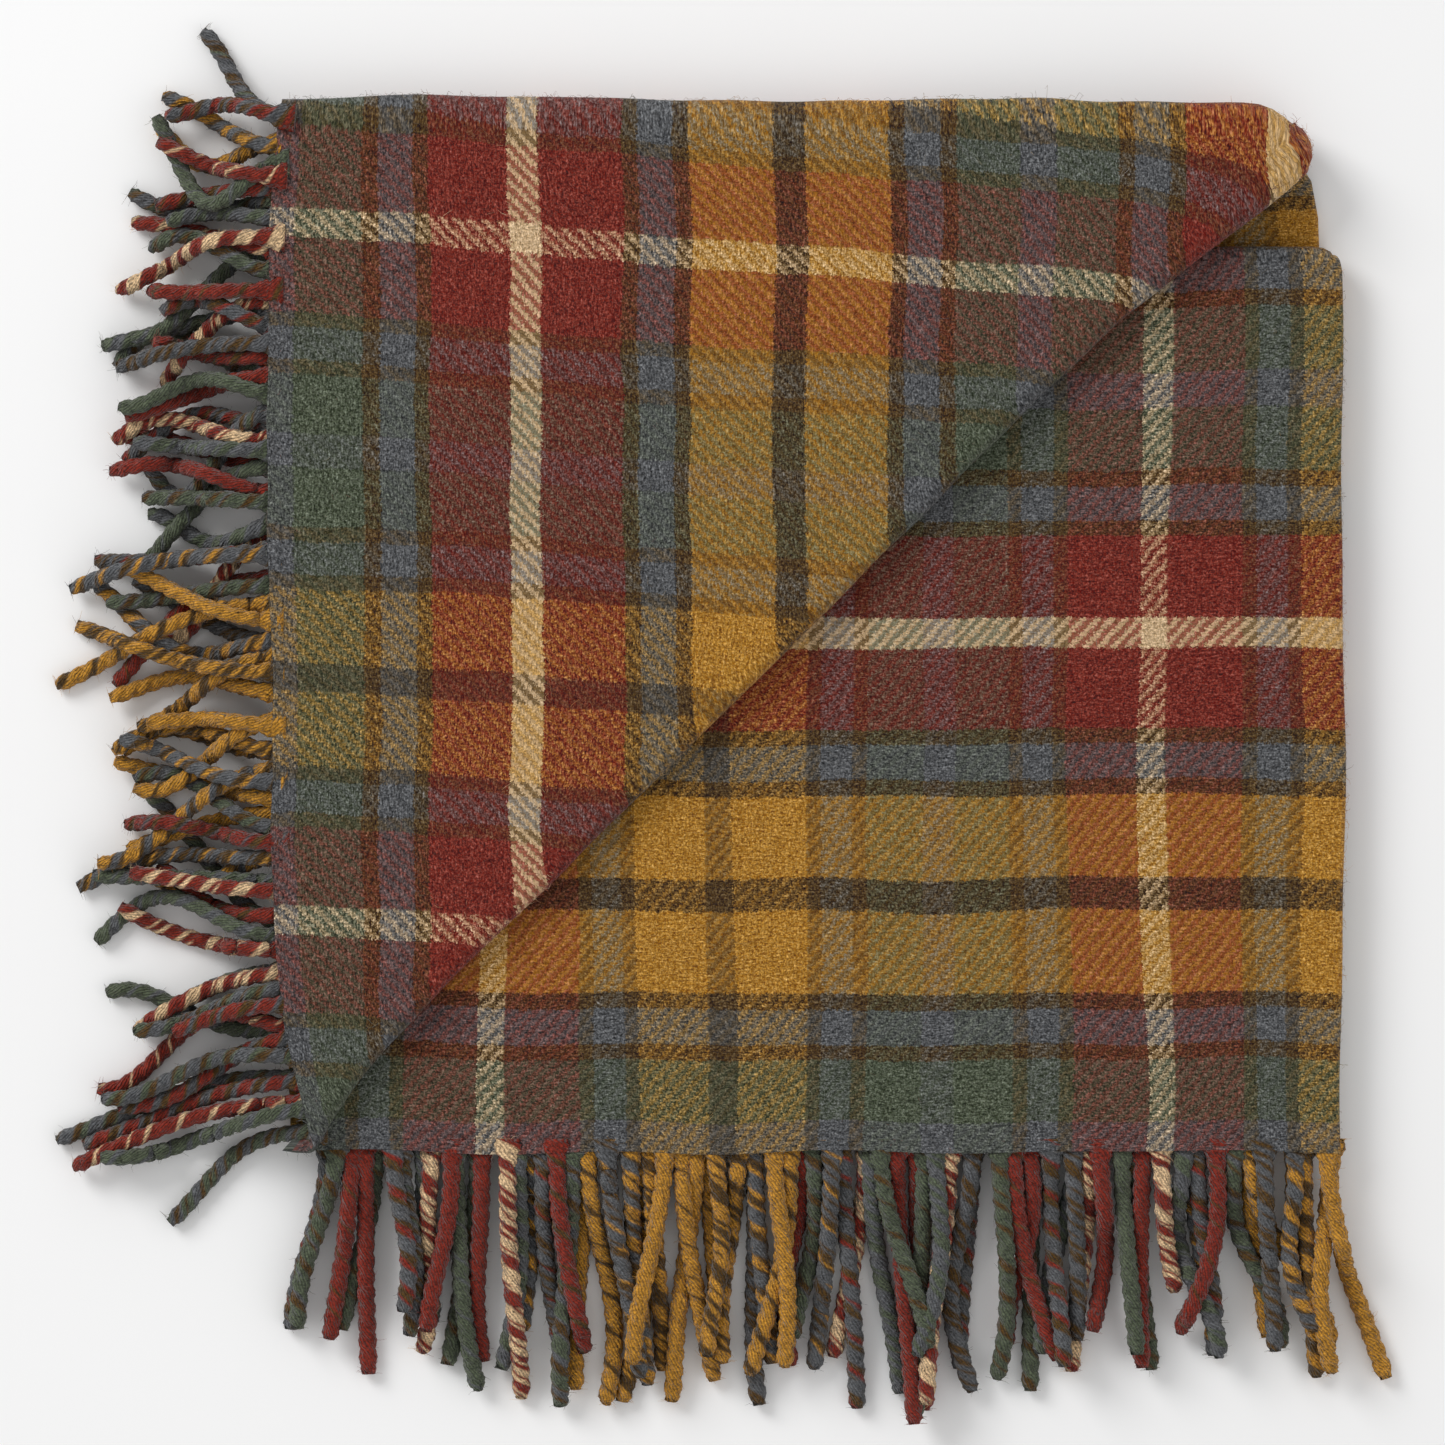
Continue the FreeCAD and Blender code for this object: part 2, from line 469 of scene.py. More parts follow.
@dataclass(frozen=True)
class Drape:
    """How the soft pack departs from its flat folds."""

    layout: Layout
    bow: Bow = Bow()
    loft: float = 1.3 * MM
    wander: float = 1.2 * MM
    edge_wave: float = 0.45 * MM
    outer_rounding: float = 25.0 * MM
    inner_rounding: float = 9.0 * MM

    def rounded(self, x: np.ndarray, y: np.ndarray, corner: tuple, size: float) -> tuple:
        """Draws a square corner in to a round one.

        Args:
            x: X of the points.
            y: Y of the points.
            corner: X and Y of the corner, which points to the back right.
            size: Radius of the rounding.

        Returns:
            The moved X and Y.
        """
        dx = np.maximum(x - corner[0] + size, 0.0)
        dy = np.maximum(y - corner[1] + size, 0.0)
        reach = np.hypot(dx, dy)
        inside = (dx > 0) & (dy > 0)
        share = np.where(inside, np.maximum(dx, dy) / np.maximum(reach, 1e-9), 1.0)
        return x - dx * (1 - share), y - dy * (1 - share)

    def settle(self, points: np.ndarray, outer: bool) -> np.ndarray:
        """Moves points off the flat folds, more the higher they lie.

        Args:
            points: Points in the pack's frame, in the last axis.
            outer: Whether they lie on the outer strip, which strays in its own way.

        Returns:
            The moved points.
        """
        x, y, z = points[..., 0], points[..., 1], points[..., 2]
        place = self.layout
        edge_seed = 41 if outer else 31
        if outer:
            back = place.outer_back_turn + (place.top - place.bottom) / 2 + place.thickness / 2
            x, y = self.rounded(x, y, (place.outer_right, back), self.outer_rounding)
            share = np.clip(1 - (x - place.outer_left) / self.bow.reach, 0.0, 1.0)
            x = x + self.bow.at(y) * share * blend_step(z, place.upper, place.top)
        else:
            back = place.inner_back_turn + place.thickness
            near = z > place.middle - place.thickness / 2
            soft_x, soft_y = self.rounded(x, y, (place.inner_right, back), self.inner_rounding)
            x, y = np.where(near, soft_x, x), np.where(near, soft_y, y)
            back = place.outer_back_turn
            soft_x, soft_y = self.rounded(x, y, (place.outer_right, back), self.outer_rounding)
            x, y = np.where(near, x, soft_x), np.where(near, y, soft_y)
        height = z / (self.layout.top + self.layout.thickness)
        rise = self.loft * height * ripple(x, y, 160 * MM, 11)
        rise = rise + 0.35 * self.loft * height * ripple(x, y, 55 * MM, 12)
        side = self.wander * ripple(x, y, 170 * MM, edge_seed)
        side = side + self.edge_wave * ripple(x, y, 48 * MM, edge_seed + 1)
        deep = self.wander * ripple(x, y, 190 * MM, edge_seed + 2)
        deep = deep + self.edge_wave * ripple(x, y, 44 * MM, edge_seed + 3)
        return np.stack((x + side, y + deep, z + rise), axis=-1)


@dataclass
class ClothMesh:
    """A grid of cloth points turned into a thin closed sheet with its cloth coordinates as UV."""

    name: str
    slot: str = "woven_wool"

    def shell(self, faces_up: np.ndarray, faces_down: np.ndarray, cloth: np.ndarray) -> tuple:
        """A closed shell round one grid of the cloth.

        Args:
            faces_up: Points of one face, rows by columns by three.
            faces_down: The same points on the other face.
            cloth: Cloth coordinates of the points, rows by columns by two.

        Returns:
            The shell's points, its faces and its cloth coordinates point by point.
        """
        rows, columns = faces_up.shape[:2]
        count = rows * columns
        points = np.concatenate((faces_up.reshape(-1, 3), faces_down.reshape(-1, 3)))
        index = np.arange(count).reshape(rows, columns)
        top = np.stack((index[:-1, :-1], index[:-1, 1:], index[1:, 1:], index[1:, :-1]), axis=-1)
        top = top.reshape(-1, 4)
        under = top[:, ::-1] + count
        edge = np.concatenate((index[0, :], index[1:, -1], index[-1, -2::-1], index[-2:0:-1, 0]))
        ahead = np.roll(edge, -1)
        rim = np.stack((ahead, edge, edge + count, ahead + count), axis=-1)
        quads = np.concatenate((top, under, rim))
        corners = points[quads]
        volume = np.einsum("ij,ij->i", corners[:, 0], np.cross(corners[:, 1], corners[:, 2])).sum()
        volume += np.einsum("ij,ij->i", corners[:, 0], np.cross(corners[:, 2], corners[:, 3])).sum()
        if volume < 0:
            quads = quads[:, ::-1]
        both = np.concatenate((cloth.reshape(-1, 2), cloth.reshape(-1, 2)))
        return points, quads, both

    def build(self, grids: list, material: bpy.types.Material) -> bpy.types.Object:
        """Builds one piece from a shell for each grid.

        Args:
            grids: For each grid the points of its two faces and its cloth coordinates.
            material: Finish of the sheet.

        Returns:
            The new object, at the origin.
        """
        all_points, all_quads, all_cloth = [], [], []
        passed = 0
        for grid in grids:
            points, quads, cloth = self.shell(*grid)
            all_points.append(points)
            all_quads.append(quads + passed)
            all_cloth.append(cloth)
            passed += len(points)
        quads = np.concatenate(all_quads)
        cloth = np.concatenate(all_cloth)
        mesh = bpy.data.meshes.new(self.name)
        mesh.from_pydata(np.concatenate(all_points).tolist(), [], quads.tolist())
        layer = mesh.uv_layers.new(name="cloth")
        layer.data.foreach_set("uv", cloth[quads.reshape(-1)].astype(np.float32).reshape(-1))
        mesh.polygons.foreach_set("use_smooth", np.ones(len(quads), bool))
        mesh.materials.append(material)
        mesh.update()
        mesh.set_sharp_from_angle(angle=math.radians(50))
        piece = bpy.data.objects.new(self.name, mesh)
        bpy.context.collection.objects.link(piece)
        return piece


class Nodes:
    """Short hand for wiring shader nodes."""

    def __init__(self, tree: bpy.types.NodeTree) -> None:
        """Keeps the tree that is wired."""
        self.tree = tree

    def add(self, kind: str, **settings: object) -> bpy.types.Node:
        """Adds a node and sets its properties.

        Args:
            kind: Type of the node.
            settings: Properties of the node and their values.

        Returns:
            The node.
        """
        node = self.tree.nodes.new(kind)
        for key, value in settings.items():
            setattr(node, key, value)
        return node

    def put(self, socket: bpy.types.NodeSocket, value: object) -> None:
        """Feeds a socket.

        Args:
            socket: The socket that is fed.
            value: Another socket, or a plain value.
        """
        if isinstance(value, bpy.types.NodeSocket):
            self.tree.links.new(value, socket)
        else:
            socket.default_value = value

    def maths(self, operation: str, *values: object) -> bpy.types.NodeSocket:
        """A Math node's result.

        Args:
            operation: What the node does.
            values: Sockets or plain values, in the order of its inputs.

        Returns:
            The result's socket.
        """
        node = self.add("ShaderNodeMath", operation=operation)
        for socket, value in zip(node.inputs, values):
            self.put(socket, value)
        return node.outputs[0]

    def total(self, *terms: tuple) -> bpy.types.NodeSocket:
        """The sum of values, each multiplied by its weight.

        Args:
            terms: Pairs of a value and its weight.

        Returns:
            The sum's socket.
        """
        result = None
        for value, weight in terms:
            term = self.maths("MULTIPLY", value, weight)
            result = term if result is None else self.maths("ADD", result, term)
        return result

    def mix(self, factor: object, first: object, second: object, blend: str = "MIX") -> bpy.types.NodeSocket:
        """A colour Mix node's result.

        Args:
            factor: Share of the second colour.
            first: The first colour.
            second: The second colour.
            blend: How the two are mixed.

        Returns:
            The mixed colour's socket.
        """
        node = self.add("ShaderNodeMix", data_type="RGBA", blend_type=blend)
        self.put(node.inputs[0], factor)
        self.put(node.inputs[6], first)
        self.put(node.inputs[7], second)
        return node.outputs[2]

    def power(self, colour: bpy.types.NodeSocket, exponent: float) -> bpy.types.NodeSocket:
        """A colour raised to a power, so that dyed fibres blend as they do to the eye.

        Args:
            colour: The colour.
            exponent: The power.

        Returns:
            The new colour's socket.
        """
        node = self.add("ShaderNodeGamma")
        self.put(node.inputs["Color"], colour)
        self.put(node.inputs["Gamma"], exponent)
        return node.outputs[0]

    def shade(self, colour: bpy.types.NodeSocket, light: bpy.types.NodeSocket) -> bpy.types.NodeSocket:
        """A colour made lighter or darker.

        Args:
            colour: The colour.
            light: What it is multiplied by.

        Returns:
            The new colour's socket.
        """
        tone = self.add("ShaderNodeCombineXYZ")
        for socket in tone.inputs:
            self.put(socket, light)
        return self.mix(1.0, colour, tone.outputs[0], "MULTIPLY")

    def noise(self, vector: object, scale: float, detail: float = 3.0, rough: float = 0.5) -> bpy.types.Node:
        """A Noise texture node.

        Args:
            vector: Where the noise is read.
            scale: How fine it is, in waves to a metre.
            detail: How many finer layers it has.
            rough: How strong the finer layers are.

        Returns:
            The node.
        """
        node = self.add("ShaderNodeTexNoise")
        self.put(node.inputs["Vector"], vector)
        self.put(node.inputs["Scale"], scale)
        self.put(node.inputs["Detail"], detail)
        self.put(node.inputs["Roughness"], rough)
        return node

    def group(self, tree: bpy.types.NodeTree, **feeds: object) -> bpy.types.Node:
        """Places a node group.

        Args:
            tree: The group's tree.
            feeds: Its inputs by name, and what feeds them.

        Returns:
            The group's node.
        """
        node = self.add("ShaderNodeGroup", node_tree=tree)
        for name, value in feeds.items():
            self.put(node.inputs[name.replace("_", " ")], value)
        return node


def new_group(name: str, takes: dict, gives: dict) -> tuple:
    """A shader node group with named inputs and outputs.

    Args:
        name: The group's name.
        takes: Input names and their socket types.
        gives: Output names and their socket types.

    Returns:
        The group's tree, its wiring helper, its input node and its output node.
    """
    tree = bpy.data.node_groups.new(name, "ShaderNodeTree")
    for title, kind in takes.items():
        tree.interface.new_socket(name=title, in_out="INPUT", socket_type=kind)
    for title, kind in gives.items():
        tree.interface.new_socket(name=title, in_out="OUTPUT", socket_type=kind)
    wiring = Nodes(tree)
    return tree, wiring, wiring.add("NodeGroupInput"), wiring.add("NodeGroupOutput")


def stripe_group(sett: Sett) -> bpy.types.NodeTree:
    """The sett's stripes as a colour for a place in the repeat.

    Args:
        sett: The repeat of the check.

    Returns:
        The group's tree.
    """
    tree, wiring, source, target = new_group(
        "sett_stripes", {"Repeat": "NodeSocketFloat"}, {"Colour": "NodeSocketColor"})
    turn = wiring.maths("FRACT", source.outputs["Repeat"])
    ramp = wiring.add("ShaderNodeValToRGB")
    ramp.color_ramp.interpolation = "CONSTANT"
    passed = 0
    for number, (yarn, count) in enumerate(sett.stripes):
        place = passed / sett.threads
        if number < 2:
            stop = ramp.color_ramp.elements[number]
            stop.position = place
        else:
            stop = ramp.color_ramp.elements.new(place)
        stop.color = (*yarn.value, 1.0)
        passed += count
    wiring.put(ramp.inputs[0], turn)
    wiring.put(target.inputs["Colour"], ramp.outputs[0])
    return tree


def twill_group() -> bpy.types.NodeTree:
    """A two-up two-down twill: which thread is on top, and the relief of its floats.

    Returns:
        The group's tree.
    """
    tree, wiring, source, target = new_group(
        "twill", {"End": "NodeSocketFloat", "Pick": "NodeSocketFloat"},
        {"Warp on top": "NodeSocketFloat", "Relief": "NodeSocketFloat"})
    end, pick = source.outputs["End"], source.outputs["Pick"]
    step = wiring.maths("ADD", wiring.maths("FLOOR", end), wiring.maths("FLOOR", pick))
    phase = wiring.maths("FLOORED_MODULO", step, 4.0)
    on_top = wiring.maths("LESS_THAN", phase, 1.5)
    round_end = wiring.maths("SINE", wiring.maths("MULTIPLY", wiring.maths("FRACT", end), math.pi))
    round_pick = wiring.maths("SINE", wiring.maths("MULTIPLY", wiring.maths("FRACT", pick), math.pi))
    warp_relief = wiring.maths("MULTIPLY", on_top, round_end)
    weft_relief = wiring.maths("MULTIPLY", wiring.maths("SUBTRACT", 1.0, on_top), round_pick)
    wiring.put(target.inputs["Warp on top"], on_top)
    wiring.put(target.inputs["Relief"], wiring.maths("ADD", warp_relief, weft_relief))
    return tree


def nap_group() -> bpy.types.NodeTree:
    """Brushed wool fibres: a fleck round 0, curly loose fibres as a mask, and a fine uneven relief.

    Returns:
        The group's tree.
    """
    tree, wiring, source, target = new_group(
        "nap", {"Vector": "NodeSocketVector"},
        {"Fleck": "NodeSocketFloat", "Fibres": "NodeSocketFloat", "Relief": "NodeSocketFloat"})
    vector = source.outputs["Vector"]
    broad = wiring.noise(vector, 230.0, 2.0, 0.6)
    medium = wiring.noise(vector, 850.0, 1.0, 0.6)
    fine = wiring.noise(vector, 1500.0, 1.0, 0.6)
    stretched = wiring.add("ShaderNodeMapping")
    wiring.put(stretched.inputs["Vector"], vector)
    stretched.inputs["Rotation"].default_value = (0.0, 0.0, 0.6)
    stretched.inputs["Scale"].default_value = (0.4, 2.0, 1.0)
    combed = wiring.noise(stretched.outputs[0], 900.0, 1.0, 0.6)
    fleck = wiring.total((broad.outputs[0], 0.3), (medium.outputs[0], 0.8),
                         (fine.outputs[0], 0.9), (combed.outputs[0], 0.6))
    wiring.put(target.inputs["Fleck"], wiring.maths("SUBTRACT", fleck, 1.3))
    curls = []
    for scale, width in ((380.0, 0.035), (620.0, 0.045)):
        curl = wiring.noise(vector, scale, 1.0, 0.5)
        off = wiring.maths("ABSOLUTE", wiring.maths("SUBTRACT", curl.outputs[0], 0.5))
        faded = wiring.maths("MINIMUM", wiring.maths("DIVIDE", off, width), 1.0)
        curls.append(wiring.maths("SUBTRACT", 1.0, faded))
    wiring.put(target.inputs["Fibres"], wiring.maths("MAXIMUM", *curls))
    wiring.put(target.inputs["Relief"], wiring.total(
        (medium.outputs[0], 0.9), (combed.outputs[0], 0.5), (fine.outputs[0], 0.5), (curls[0], 0.25)))
    return tree


def check_group(sett: Sett, stripes: bpy.types.NodeTree, twill: bpy.types.NodeTree,
                nap: bpy.types.NodeTree) -> bpy.types.NodeTree:
    """The woven and milled check as a colour and a relief, from the cloth coordinates.

    The fleck is added to the blended yarns as the eye sees them, so it is as strong on dark stripes as on
    pale ones. The more two yarns differ, the crisper the twill between them. The floats' relief is also
    painted into the colour as shade at each thread's edges, and the curly loose fibres as painted highlight
    and a painted pale sheen.

    Args:
        sett: The repeat of the check.
        stripes: The group that gives the colour of a place in the repeat.
        twill: The group that gives the thread on top.
        nap: The group of brushed fibres.

    Returns:
        The group's tree.
    """
    tree, wiring, source, target = new_group(
        "woven_check", {"Cloth": "NodeSocketVector"},
        {"Colour": "NodeSocketColor", "Relief": "NodeSocketFloat"})
    cloth = source.outputs["Cloth"]
    spread = cloth
    for scale, reach in ((240.0, 1.6 * MM), (1500.0, 2.6 * MM)):
        stray = wiring.noise(cloth, scale, 1.0, 0.5)
        centred = wiring.add("ShaderNodeVectorMath", operation="SUBTRACT")
        wiring.put(centred.inputs[0], stray.outputs["Color"])
        centred.inputs[1].default_value = (0.5, 0.5, 0.5)
        moved = wiring.add("ShaderNodeVectorMath", operation="MULTIPLY_ADD")
        wiring.put(moved.inputs[0], centred.outputs[0])
        moved.inputs[1].default_value = (reach, reach, 0.0)
        wiring.put(moved.inputs[2], spread)
        spread = moved.outputs[0]
    parts = wiring.add("ShaderNodeSeparateXYZ")
    wiring.put(parts.inputs[0], spread)
    from_cream = wiring.maths("SUBTRACT", parts.outputs[0], sett.warp_cream)
    warp = wiring.maths("DIVIDE", from_cream, sett.warp_repeat)
    weft = wiring.maths("DIVIDE", parts.outputs[1], sett.weft_repeat)
    threads = float(sett.threads)
    counts = [wiring.maths("MULTIPLY", turn, threads) for turn in (warp, weft)]
    colours = []
    for count in counts:
        whole = wiring.maths("ADD", wiring.maths("FLOOR", count), 0.5)
        dyed = wiring.group(stripes, Repeat=wiring.maths("DIVIDE", whole, threads)).outputs[0]
        colours.append(wiring.power(dyed, 1 / DISPLAY_GAMMA))
    weave = wiring.group(twill, End=counts[0], Pick=counts[1])
    fuzz = wiring.group(nap, Vector=cloth)
    apart = wiring.add("ShaderNodeVectorMath", operation="DISTANCE")
    wiring.put(apart.inputs[0], colours[0])
    wiring.put(apart.inputs[1], colours[1])
    crisp = wiring.total((apart.outputs["Value"], 0.55), (1.0, 0.10))
    over = wiring.maths("MULTIPLY", crisp, wiring.maths("SUBTRACT", weave.outputs["Warp on top"], 0.5))
    warp_share = wiring.total((over, 1.0), (fuzz.outputs["Fleck"], 0.7), (1.0, 0.37))
    warp_share = wiring.maths("MINIMUM", wiring.maths("MAXIMUM", warp_share, 0.02), 0.95)
    even = wiring.mix(warp_share, colours[1], colours[0])
    flecked = wiring.add("ShaderNodeVectorMath", operation="ADD")
    wiring.put(flecked.inputs[0], even)
    wiring.put(flecked.inputs[1], wiring.total((fuzz.outputs["Fleck"], 0.60), (1.0, -0.012)))
    kept = wiring.add("ShaderNodeVectorMath", operation="MAXIMUM")
    wiring.put(kept.inputs[0], flecked.outputs[0])
    kept.inputs[1].default_value = (0.05, 0.05, 0.05)
    colour = wiring.power(kept.outputs[0], DISPLAY_GAMMA)
    # Painted light and shade: the colour darkens towards each float's edges and lightens on the curly loose
    # fibres, on top of the random fleck.
    light = wiring.total((1.0, 0.80), (fuzz.outputs["Fleck"], 0.3), (weave.outputs["Relief"], 0.25),
                         (fuzz.outputs["Fibres"], 0.20))
    colour = wiring.shade(colour, wiring.maths("MAXIMUM", light, 0.1))
    # Painted sheen: a pale tint is mixed in where the curly loose fibres lie.
    pale = wiring.maths("MULTIPLY", fuzz.outputs["Fibres"], 0.03)
    colour = wiring.mix(pale, colour, CURL_SHEEN_TINT)
    wiring.put(target.inputs["Colour"], colour)
    wiring.put(target.inputs["Relief"], wiring.total(
        (weave.outputs["Relief"], 0.75), (fuzz.outputs["Relief"], 1.3)))
    return tree


@dataclass(frozen=True)
class Groups:
    """The shader groups that the finishes share."""

    nap: bpy.types.NodeTree
    check: bpy.types.NodeTree

    @classmethod
    def build(cls, sett: Sett) -> "Groups":
        """Builds each group once."""
        nap = nap_group()
        return cls(nap, check_group(sett, stripe_group(sett), twill_group(), nap))


@dataclass(frozen=True)
class WoolShader:
    """What all the wool finishes share: no gloss, and a soft sheen from standing fibres."""

    roughness: float = 0.95
    specular: float = 0.12
    sheen: float = 0.16
    sheen_roughness: float = 0.5

    def start(self, name: str) -> tuple:
        """Starts a wool material.

        Args:
            name: Name of the material.

        Returns:
            The material, its wiring helper and its shader.
        """
        material = bpy.data.materials.new(name)
        material.use_nodes = True
        shader = material.node_tree.nodes["Principled BSDF"]
        shader.inputs["Roughness"].default_value = self.roughness
        shader.inputs["Specular IOR Level"].default_value = self.specular
        shader.inputs["Sheen Weight"].default_value = self.sheen
        shader.inputs["Sheen Roughness"].default_value = self.sheen_roughness
        return material, Nodes(material.node_tree), shader

    def bump(self, wiring: Nodes, shader: bpy.types.Node, height: bpy.types.NodeSocket,
             depth: float, strength: float) -> None:
        """Gives the shader a relief.

        Args:
            wiring: The material's wiring helper.
            shader: The shader whose Normal is fed.
            height: The relief, in shares of its depth.
            depth: Depth of the relief in metres.
            strength: How much of it shows.
        """
        node = wiring.add("ShaderNodeBump")
        node.inputs["Strength"].default_value = strength
        node.inputs["Distance"].default_value = depth
        wiring.put(node.inputs["Height"], height)
        wiring.put(shader.inputs["Normal"], node.outputs[0])


@dataclass(frozen=True)
class BrushedTwill:
    """The woven, milled cloth."""

    groups: Groups
    wool: WoolShader = WoolShader()
    weave_depth: float = 0.5 * MM

    def material(self) -> bpy.types.Material:
        """Builds the cloth's material.

        Returns:
            The material.
        """
        material, wiring, shader = self.wool.start("brushed_twill")
        cloth = wiring.add("ShaderNodeUVMap", uv_map="cloth").outputs[0]
        check = wiring.group(self.groups.check, Cloth=cloth)
        wiring.put(shader.inputs["Base Color"], check.outputs["Colour"])
        self.wool.bump(wiring, shader, check.outputs["Relief"], self.weave_depth, 0.85)
        return material


@dataclass(frozen=True)
class LooseFibre:
    """Fine fibres that stand off the cloth, each in the colour that it grows from, a little paler as a
    painted sheen.
    """

    groups: Groups
    wool: WoolShader = WoolShader(sheen=0.3)
    painted_sheen: float = 0.08

    def material(self) -> bpy.types.Material:
        """Builds the fibres' material.

        Returns:
            The material.
        """
        material, wiring, shader = self.wool.start("loose_fibre")
        cloth = wiring.add("ShaderNodeUVMap", uv_map="cloth").outputs[0]
        check = wiring.group(self.groups.check, Cloth=cloth)
        # Painted sheen: the fibres' colour is paled towards a straw tint.
        pale = wiring.mix(self.painted_sheen, check.outputs["Colour"], FIBRE_SHEEN_TINT)
        wiring.put(shader.inputs["Base Color"], pale)
        return material


@dataclass(frozen=True)
class TwistedWool:
    """The tassels: dyed yarns side by side, slanting round the tassel, with fuzz, painted shade in the
    grooves between the yarns and painted highlight and sheen on the curly fibres.
    """

    groups: Groups
    wool: WoolShader = WoolShader(sheen=0.18)
    yarns: int = 15
    yarn_turn: float = 30.0 * MM

    def material(self) -> bpy.types.Material:
        """Builds the tassels' material.

        Returns:
            The material.
        """
        material, wiring, shader = self.wool.start("twisted_wool")
        strand = wiring.add("ShaderNodeUVMap", uv_map="strand").outputs[0]
        parts = wiring.add("ShaderNodeSeparateXYZ")
        wiring.put(parts.inputs[0], strand)
        dye = wiring.add("ShaderNodeAttribute", attribute_name="dye")
        place = wiring.add("ShaderNodeTexCoord").outputs["Object"]
        nap = wiring.group(self.groups.nap, Vector=place)
        stray = wiring.maths("SUBTRACT", wiring.noise(place, 300.0, 2.0).outputs[0], 0.5)
        turn = wiring.total((parts.outputs[0], float(self.yarns)),
                            (parts.outputs[1], -self.yarns / self.yarn_turn), (stray, 1.6))
        groove = wiring.maths("ABSOLUTE", wiring.maths("SINE", wiring.maths("MULTIPLY", turn, math.pi)))
        # Painted light and shade: the colour darkens in the grooves between the yarns and lightens on the
        # curly loose fibres, on top of the random fleck.
        light = wiring.total((1.0, 0.64), (groove, 0.48), (nap.outputs["Fleck"], 1.7),
                             (nap.outputs["Fibres"], 0.24))
        colour = wiring.shade(dye.outputs["Color"], wiring.maths("MAXIMUM", light, 0.1))
        # Painted sheen: a pale tint is mixed in where the curly loose fibres lie.
        pale = wiring.maths("MULTIPLY", nap.outputs["Fibres"], 0.03)
        wiring.put(shader.inputs["Base Color"], wiring.mix(pale, colour, CURL_SHEEN_TINT))
        relief = wiring.total((groove, 0.9), (nap.outputs["Relief"], 0.8))
        self.wool.bump(wiring, shader, relief, 0.6 * MM, 0.9)
        return material


@dataclass(frozen=True)
class TasselFuzz:
    """Fine fibres that stand off the tassels, in the colour of their yarn, a little paler as a painted
    sheen.
    """

    wool: WoolShader = WoolShader(sheen=0.3)
    painted_sheen: float = 0.08

    def material(self) -> bpy.types.Material:
        """Builds the fibres' material.

        Returns:
            The material.
        """
        material, wiring, shader = self.wool.start("tassel_fuzz")
        dye = wiring.add("ShaderNodeAttribute", attribute_name="dye")
        # Painted sheen: the fibres' colour is paled towards a straw tint.
        pale = wiring.mix(self.painted_sheen, dye.outputs["Color"], FIBRE_SHEEN_TINT)
        wiring.put(shader.inputs["Base Color"], pale)
        return material


def evenly(start: float, end: float, step: float) -> np.ndarray:
    """Stations from start to end, no further apart than the step, without the end."""
    count = max(int(math.ceil(abs(end - start) / step)), 1)
    return np.linspace(start, end, count, endpoint=False)


def flat_area(u: np.ndarray, v: np.ndarray) -> float:
    """Area of a grid of cloth when it is flat.

    Args:
        u: Distance of the points from the first selvedge.
        v: Their distance along the cloth.

    Returns:
        The area in square metres.
    """
    cross = (u[1:, 1:] - u[:-1, :-1]) * (v[1:, :-1] - v[:-1, 1:])
    cross = cross - (u[1:, :-1] - u[:-1, 1:]) * (v[1:, 1:] - v[:-1, :-1])
    return float(np.abs(cross).sum() / 2)


